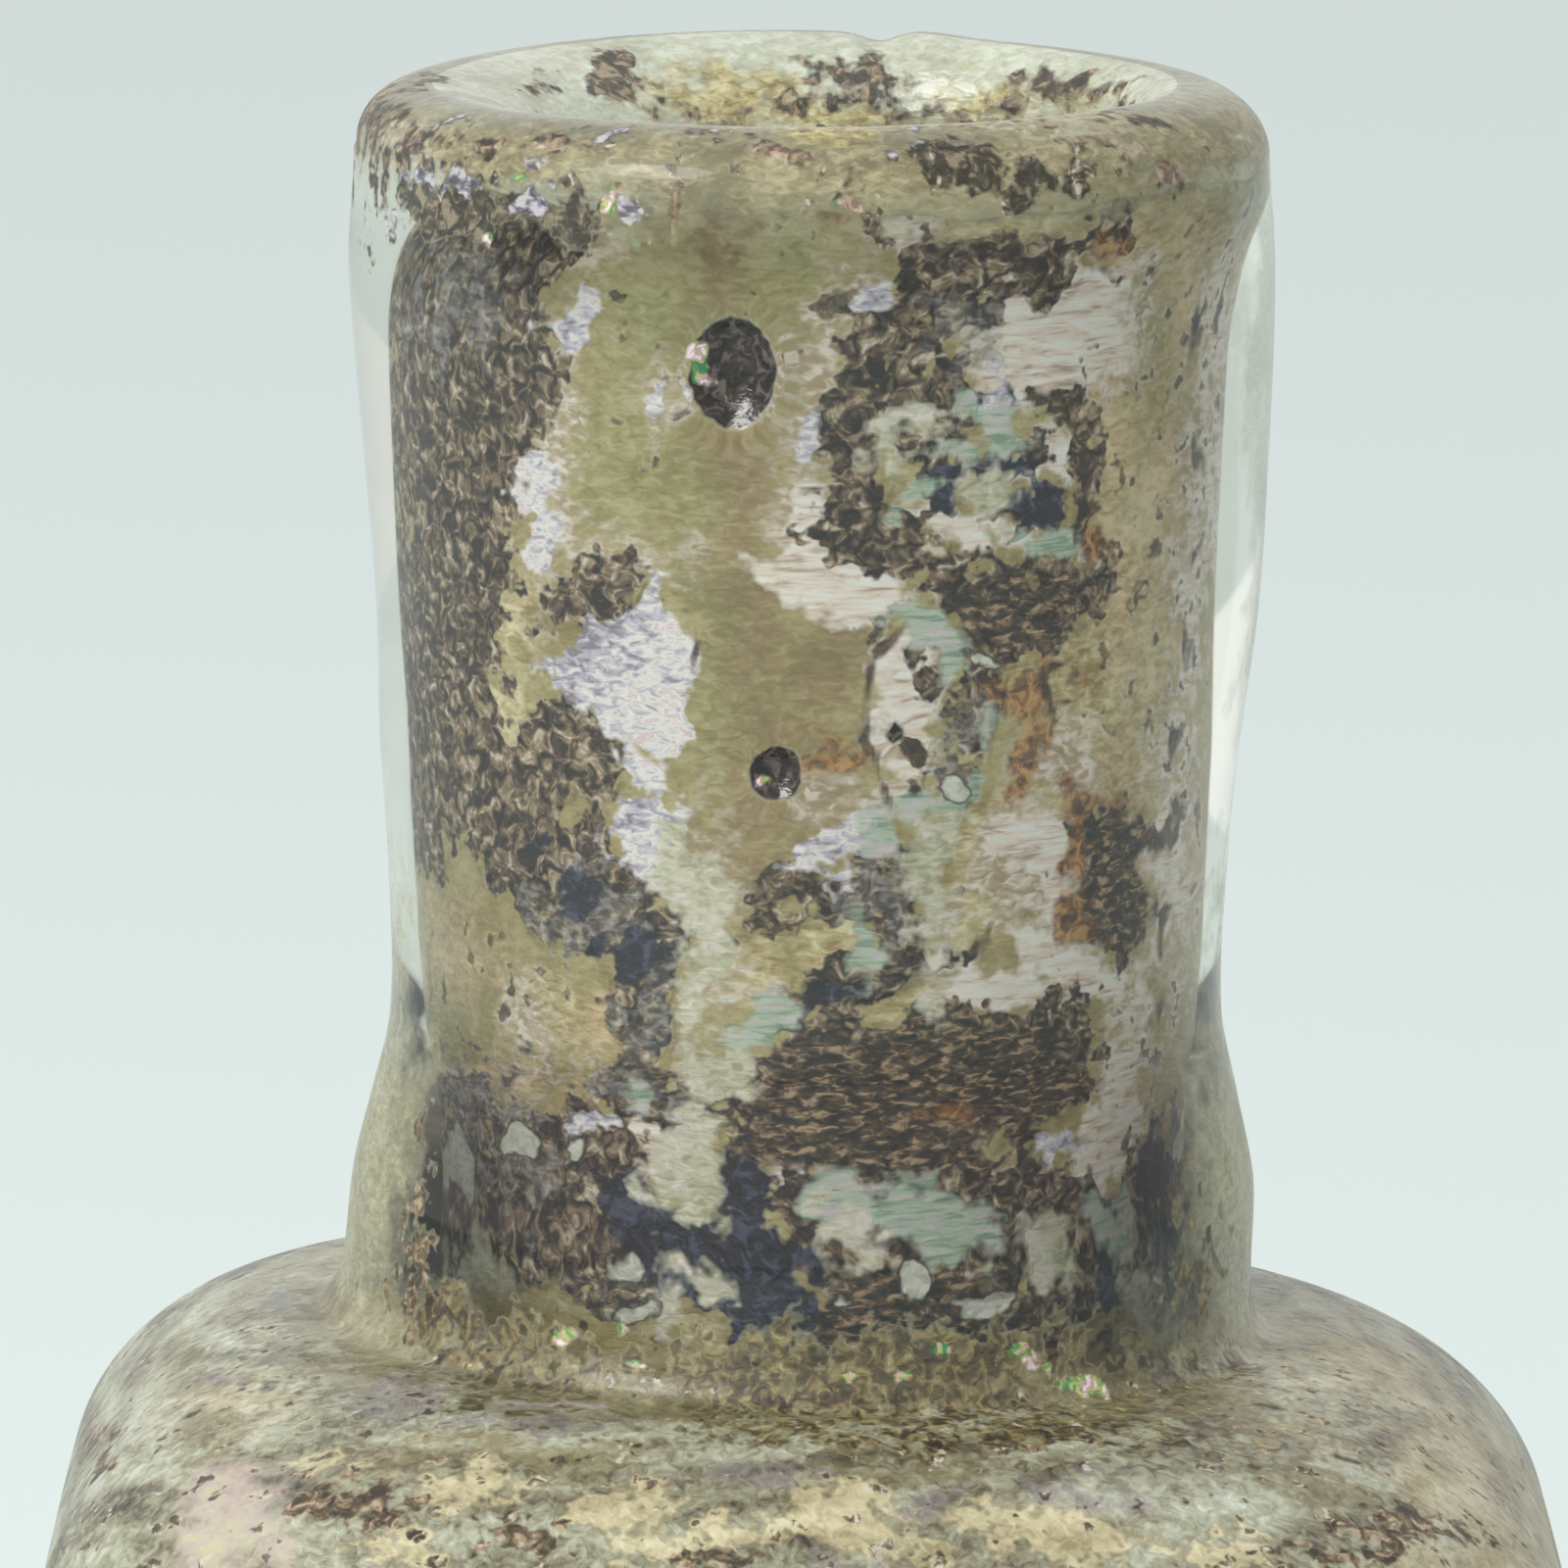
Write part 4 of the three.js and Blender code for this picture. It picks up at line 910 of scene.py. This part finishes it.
def deposit_material():
    """Burial film and crust on the inside of the glass: olive film of fine silt, brown-black crust in grains,
    and flakes of decayed glass in thin sheets, lilac, silver and green. The lilac and silver flakes carry
    painted white glints, and the white flakes a painted shadow line round them."""
    material = new_material("burial_film_and_crust")
    tree = material.node_tree
    surface, _ = finish_layers(tree, INNER_LAYERS, OLIVE_FILM)
    node(tree, "ShaderNodeOutputMaterial", {}, {"Surface": surface})
    return material


def glass_material():
    """Blown soda-lime glass, pale green, fire-polished and clear where it is clean. Burial has covered the
    shoulder and body with silt-coloured film in streaks, and left stains in the mouth and burst bubbles.
    The bubbles' hollows are painted near black as shade, and small painted glints, green, pink and white,
    lie on them, on the lip and at the neck's foot, with more on the lip's lilac-grey flakes. Some flakes on
    the shoulder have a painted shadow line round them."""
    material = new_material("blown_soda_lime_glass")
    tree = material.node_tree
    clear = node(
        tree, "ShaderNodeBsdfPrincipled",
        {"Base Color": linear(GLASS_COLOUR), "Roughness": 0.04, "IOR": GLASS_IOR, "Transmission Weight": 1.0},
    ).outputs[0]
    weathered, cover = finish_layers(tree, OUTER_LAYERS, SILT_FILM)
    both = node(tree, "ShaderNodeMixShader", {}, {0: cover, 1: clear, 2: weathered}).outputs[0]
    node(tree, "ShaderNodeOutputMaterial", {}, {"Surface": both})
    return material


def relief_of(fields, layers):
    """The height in millimetres that the layers build up, each over the last as far as its field reaches."""
    height = np.zeros(fields["mottle"].shape)
    for layer in layers:
        if layer.height:
            share = np.clip(fields[layer.field] / layer.soft + 0.5, 0, 1) * layer.most
            height = height * (1 - share) + layer.height * share
    return height


def make_piece(name, rings, low_pole, high_pole, fields, material):
    """Closes a stack of rings into a piece: four-sided faces between rings, and a fan at each pole.

    Each field becomes an attribute of its points, and a pole takes the value of the ring beside it.
    """
    rows, columns = rings.shape[:2]
    points = np.concatenate([rings.reshape(-1, 3), [low_pole, high_pole]]) * MM
    j = np.arange(columns)
    beside = (j + 1) % columns
    start = np.arange(rows - 1)[:, None] * columns
    faces = np.stack([start + j, start + beside, start + beside + columns, start + j + columns], axis=-1)
    low, high, last = rows * columns, rows * columns + 1, (rows - 1) * columns
    low_fan = np.stack([np.full(columns, low), beside, j], axis=-1)
    high_fan = np.stack([last + j, last + beside, np.full(columns, high)], axis=-1)
    mesh = bpy.data.meshes.new(name)
    faces = faces.reshape(-1, 4).tolist() + low_fan.tolist() + high_fan.tolist()
    mesh.from_pydata(points.tolist(), [], faces)
    for field, depth in fields.items():
        at_points = np.concatenate([depth.reshape(-1), depth[0, :1], depth[-1, :1]])
        attribute = mesh.attributes.new(field, "FLOAT", "POINT")
        attribute.data.foreach_set("value", at_points.astype(np.float32))
    mesh.shade_smooth()
    mesh.materials.append(material)
    piece = bpy.data.objects.new(name, mesh)
    bpy.context.scene.collection.objects.link(piece)
    return piece


def burst_bubbles(outside, normal):
    """How deep the burst bubbles sink the side that faces the eye, and how deep a place lies inside one,
    which is where their hollows get painted shade.
    """
    u, v = front_view(outside)
    facing = normal[..., 1] < -0.15
    sunk = np.zeros(u.shape)
    pit = np.full(u.shape, FAR_OUTSIDE)
    for right, below, half_width, half_height, depth in BUBBLES:
        away = np.hypot((u - right) / half_width, (v - below) / half_height)
        sunk += np.where(facing, depth * np.clip(1.15 - away ** 2, 0, 1), 0)
        pit = np.maximum(pit, np.where(facing, (1 - away) * min(half_width, half_height), FAR_OUTSIDE))
    return sunk, pit


def glass_fields(rings, on_outside):
    """How deep each place of the glass lies in each layer: in the patches where the photograph shows it, and
    in scattered ones on the rest of the body, with a soft change between the two."""
    in_mouth = ~on_outside & (rings[..., 2] > BOTTLE_HEIGHT - MOUTH_PATCHES_TO) & (rings[..., 1] > 0)
    on_body = on_outside & (rings[..., 2] < NECK_FOOT)
    u, v = wandering(front_view(rings), rings)
    to_the_front = np.clip((5.0 - rings[..., 1]) / 3.0, 0, 1)
    seen = np.where(on_outside, to_the_front, in_mouth) * np.clip(PICTURE_TO - v, 0, 1)
    fields = {}
    for number, (name, patches) in enumerate(OUTER_PATCHES.items()):
        spread = scattered_noise(rings, OUTER_SEED + number)
        elsewhere = np.full(u.shape, FAR_OUTSIDE)
        if name.startswith("shoulder"):
            elsewhere = np.where(on_body, 1.2 * spread - 0.85, FAR_OUTSIDE)
        if name == "specks":
            elsewhere = np.where(on_body, 0.0, FAR_OUTSIDE)
        if name == "foot_film":
            elsewhere = np.where(on_outside, NECK_FOOT + FOOT_FILM_TO + spread - rings[..., 2], FAR_OUTSIDE)
        depth = patch_depth(u, v, patches) * seen + elsewhere * (1 - seen)
        fields[name] = np.minimum(depth, 0) + SPECKLE_DEPTH if name in SPECKLED else depth
    under_top = BOTTLE_HEIGHT - rings[..., 2]
    near_side = np.clip((1.0 - rings[..., 1]) / 2.5, 0, 1)
    fields["lip_film"] = np.where(on_outside, LIP_FILM_TO - under_top, FAR_OUTSIDE)
    fields["lip_haze"] = np.where(on_outside, *LIP_HAZE_TO) - under_top
    mouth_haze = MOUTH_HAZE_TO - under_top - MOUTH_HAZE_TO * near_side
    fields["mouth_haze"] = np.where(on_outside, FAR_OUTSIDE, mouth_haze)
    fields["burial"] = np.where(on_outside, NECK_FOOT + BURIAL_TO - rings[..., 2], FAR_OUTSIDE)
    return fields


def add_noise_and_relief(fields, rings, layers):
    """Adds the noises that colours follow and the relief that the layers build up."""
    fields["mottle"] = mottled_noise(rings)
    fields["sweep"] = swept_noise(rings)
    fields["relief"] = relief_of(fields, layers)


def bottle_glass(material):
    """The whole vessel: outside, lip, bore and hollow in one closed surface, with burst bubbles sunk in."""
    angle = np.linspace(0, 2 * math.pi, GLASS_COLUMNS, endpoint=False)[None, :]
    outside = outer_bands(angle)
    normal = grid_normals(outside)
    sunk, pit = burst_bubbles(outside, normal)
    outside = outside - normal * sunk[..., None]
    inside = np.concatenate([inner_roll(angle, shares(16)), bore(angle, shares(36)), hollow(angle, 14, 12)])
    rings = np.concatenate([outside, inside])
    fields = glass_fields(rings, np.arange(len(rings))[:, None] < len(outside))
    fields["pit"] = np.concatenate([pit, np.full(inside.shape[:2], FAR_OUTSIDE)])
    add_noise_and_relief(fields, rings, OUTER_LAYERS)
    return make_piece(
        "bottle_glass", rings, (0, 0, KICK_DEPTH), (0, 0, BASE_WALL + KICK_DEPTH), fields, material)


def deposit_fields(outer):
    """How deep each place of the deposit lies in each layer: in the patches as the eye sees them through the
    glass, and in scattered ones at the back and in the hollow of the body."""
    u, v = wandering(seen_through_glass(outer), outer)
    azimuth = np.abs(np.arctan2(outer[..., 0], -outer[..., 1]))
    hidden = np.clip((azimuth - HIDDEN_FROM) / HIDDEN_FADE, 0, 1)
    below = np.clip(BORE_FOOT - outer[..., 2], 0, 1)
    fields = {}
    for number, (name, patches) in enumerate(INNER_PATCHES.items()):
        least = 0.55 if name in ("crust", "straw", "moss_green") else 1.0
        behind = (scattered_noise(outer, INNER_SEED + number) - least) * 1.2
        in_patches = patch_depth(u, v, patches)
        depth = in_patches * (1 - hidden) + behind * hidden
        depth = depth * (1 - below) + behind * below + PATCH_SPREAD
        if name in SPECKLED:
            depth = np.minimum(depth - PATCH_SPREAD, 0) + SPECKLE_DEPTH + PATCH_SPREAD
        if name == "crack_line":
            depth = in_patches * (1 - hidden) + FAR_OUTSIDE * hidden
        fields[name] = depth
    return fields


def inner_deposit(material):
    """The deposit that lines the bore and hollow: a thin closed cup, its outer face just inside the glass so
    that the eye meets it with no air between, its inner face lumpy and standing a little off the glass."""
    angle = np.linspace(0, 2 * math.pi, DEPOSIT_COLUMNS, endpoint=False)[None, :]
    start = 0.006 + 0.004 * np.sin(5 * angle + 1) + 0.002 * np.sin(19 * angle)
    lining = bore(angle, start + (1 - start) * shares(135))
    wall = np.concatenate([bore(angle, start), lining, hollow(angle, 16, 10)])
    normal = grid_normals(wall)
    outer = (wall - DEPOSIT_GAP * normal)[::-1]
    lumps = DEPOSIT_THICKNESS + LUMP_HEIGHT * lattice_noise(wall, 0.9, 3)
    inner = (wall + lumps[..., None] * normal)[::3]
    rings = np.concatenate([outer, inner])
    fields = {
        name: np.concatenate([depth, np.full(inner.shape[:2], FAR_OUTSIDE)])
        for name, depth in deposit_fields(outer).items()
    }
    add_noise_and_relief(fields, rings, INNER_LAYERS)
    low_pole = (0, 0, BASE_WALL + KICK_DEPTH - DEPOSIT_GAP)
    high_pole = (0, 0, BASE_WALL + KICK_DEPTH + DEPOSIT_THICKNESS)
    return make_piece("inner_deposit", rings, low_pole, high_pole, fields, material)


def point_at(thing, place_at, target):
    """Puts a camera or lamp at a place in millimetres and turns its -Z to the target."""
    eye, aim = np.array(place_at, float), np.array(target, float)
    back = (eye - aim) / np.linalg.norm(eye - aim)
    side = np.cross((0.0, 0.0, 1.0), back)
    side /= np.linalg.norm(side)
    up = np.cross(back, side)
    matrix = np.eye(4)
    matrix[:3, :3] = np.stack([side, up, back], axis=1)
    matrix[:3, 3] = eye * MM
    thing.matrix_world = Matrix(matrix.tolist())


def add_camera():
    aim = (AIM_SIDE, 0.0, BOTTLE_HEIGHT - AIM_UNDER_RIM)
    eye = (AIM_SIDE, -EYE_DISTANCE, BOTTLE_HEIGHT + EYE_OVER_RIM)
    lens = bpy.data.cameras.new("camera")
    lens.sensor_width = SENSOR
    lens.lens = SENSOR * math.dist(eye, aim) / PICTURE_ACROSS
    lens.clip_start = 0.01
    camera = bpy.data.objects.new("camera", lens)
    bpy.context.scene.collection.objects.link(camera)
    point_at(camera, eye, aim)
    bpy.context.scene.camera = camera


def add_floor():
    """A plain pale disc that fills the picture behind the bottle."""
    turn = np.linspace(0, 2 * math.pi, FLOOR_SIDES, endpoint=False)
    rim = np.stack([FLOOR_RADIUS * np.cos(turn), FLOOR_RADIUS * np.sin(turn), 0 * turn], axis=-1) * MM
    mesh = bpy.data.meshes.new("floor")
    mesh.from_pydata(rim.tolist(), [], [list(range(FLOOR_SIDES))])
    material = new_material("painted_board")
    tree = material.node_tree
    paint = node(tree, "ShaderNodeBsdfPrincipled", {"Base Color": linear(FLOOR_COLOUR), "Roughness": 0.9})
    node(tree, "ShaderNodeOutputMaterial", {}, {"Surface": paint.outputs[0]})
    mesh.materials.append(material)
    floor = bpy.data.objects.new("floor", mesh)
    bpy.context.scene.collection.objects.link(floor)


def add_key_lamp():
    """A broad round lamp over the left shoulder."""
    lamp = bpy.data.lights.new("key_lamp", "AREA")
    lamp.shape = "DISK"
    lamp.size = LAMP_ACROSS * MM
    lamp.energy = LAMP_WATTS
    lamp.color = linear(LAMP_COLOUR)[:3]
    key_lamp = bpy.data.objects.new("key_lamp", lamp)
    bpy.context.scene.collection.objects.link(key_lamp)
    point_at(key_lamp, LAMP_PLACE, LAMP_TARGET)


def add_daylight():
    """Soft white light all round, a little stronger from the left than from the right."""
    scene = bpy.context.scene
    world = bpy.data.worlds.new("soft_daylight")
    world.use_nodes = True
    world.node_tree.nodes.clear()
    tree = world.node_tree
    way = node(tree, "ShaderNodeTexCoord").outputs["Generated"]
    east = node(tree, "ShaderNodeSeparateXYZ", {}, {0: way}).outputs["X"]
    dimmer = node(
        tree, "ShaderNodeMapRange",
        {"From Min": -1.0, "From Max": 1.0, "To Min": DAYLIGHT_LEFT, "To Max": DAYLIGHT_RIGHT},
        {0: east},
    ).outputs[0]
    sky = node(tree, "ShaderNodeBackground", {"Color": linear(DAYLIGHT_COLOUR)}, {"Strength": dimmer})
    node(tree, "ShaderNodeOutputWorld", {}, {"Surface": sky.outputs[0]})
    scene.world = world
    scene.view_settings.view_transform = "Standard"
    scene.cycles.use_denoising = True
    scene.cycles.max_bounces = 8


add_floor()
add_daylight()
add_key_lamp()
add_camera()
glass = bottle_glass(glass_material())
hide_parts("glass_bottle")
deposit = inner_deposit(deposit_material())
for piece in (glass, deposit):
    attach(piece, "root")
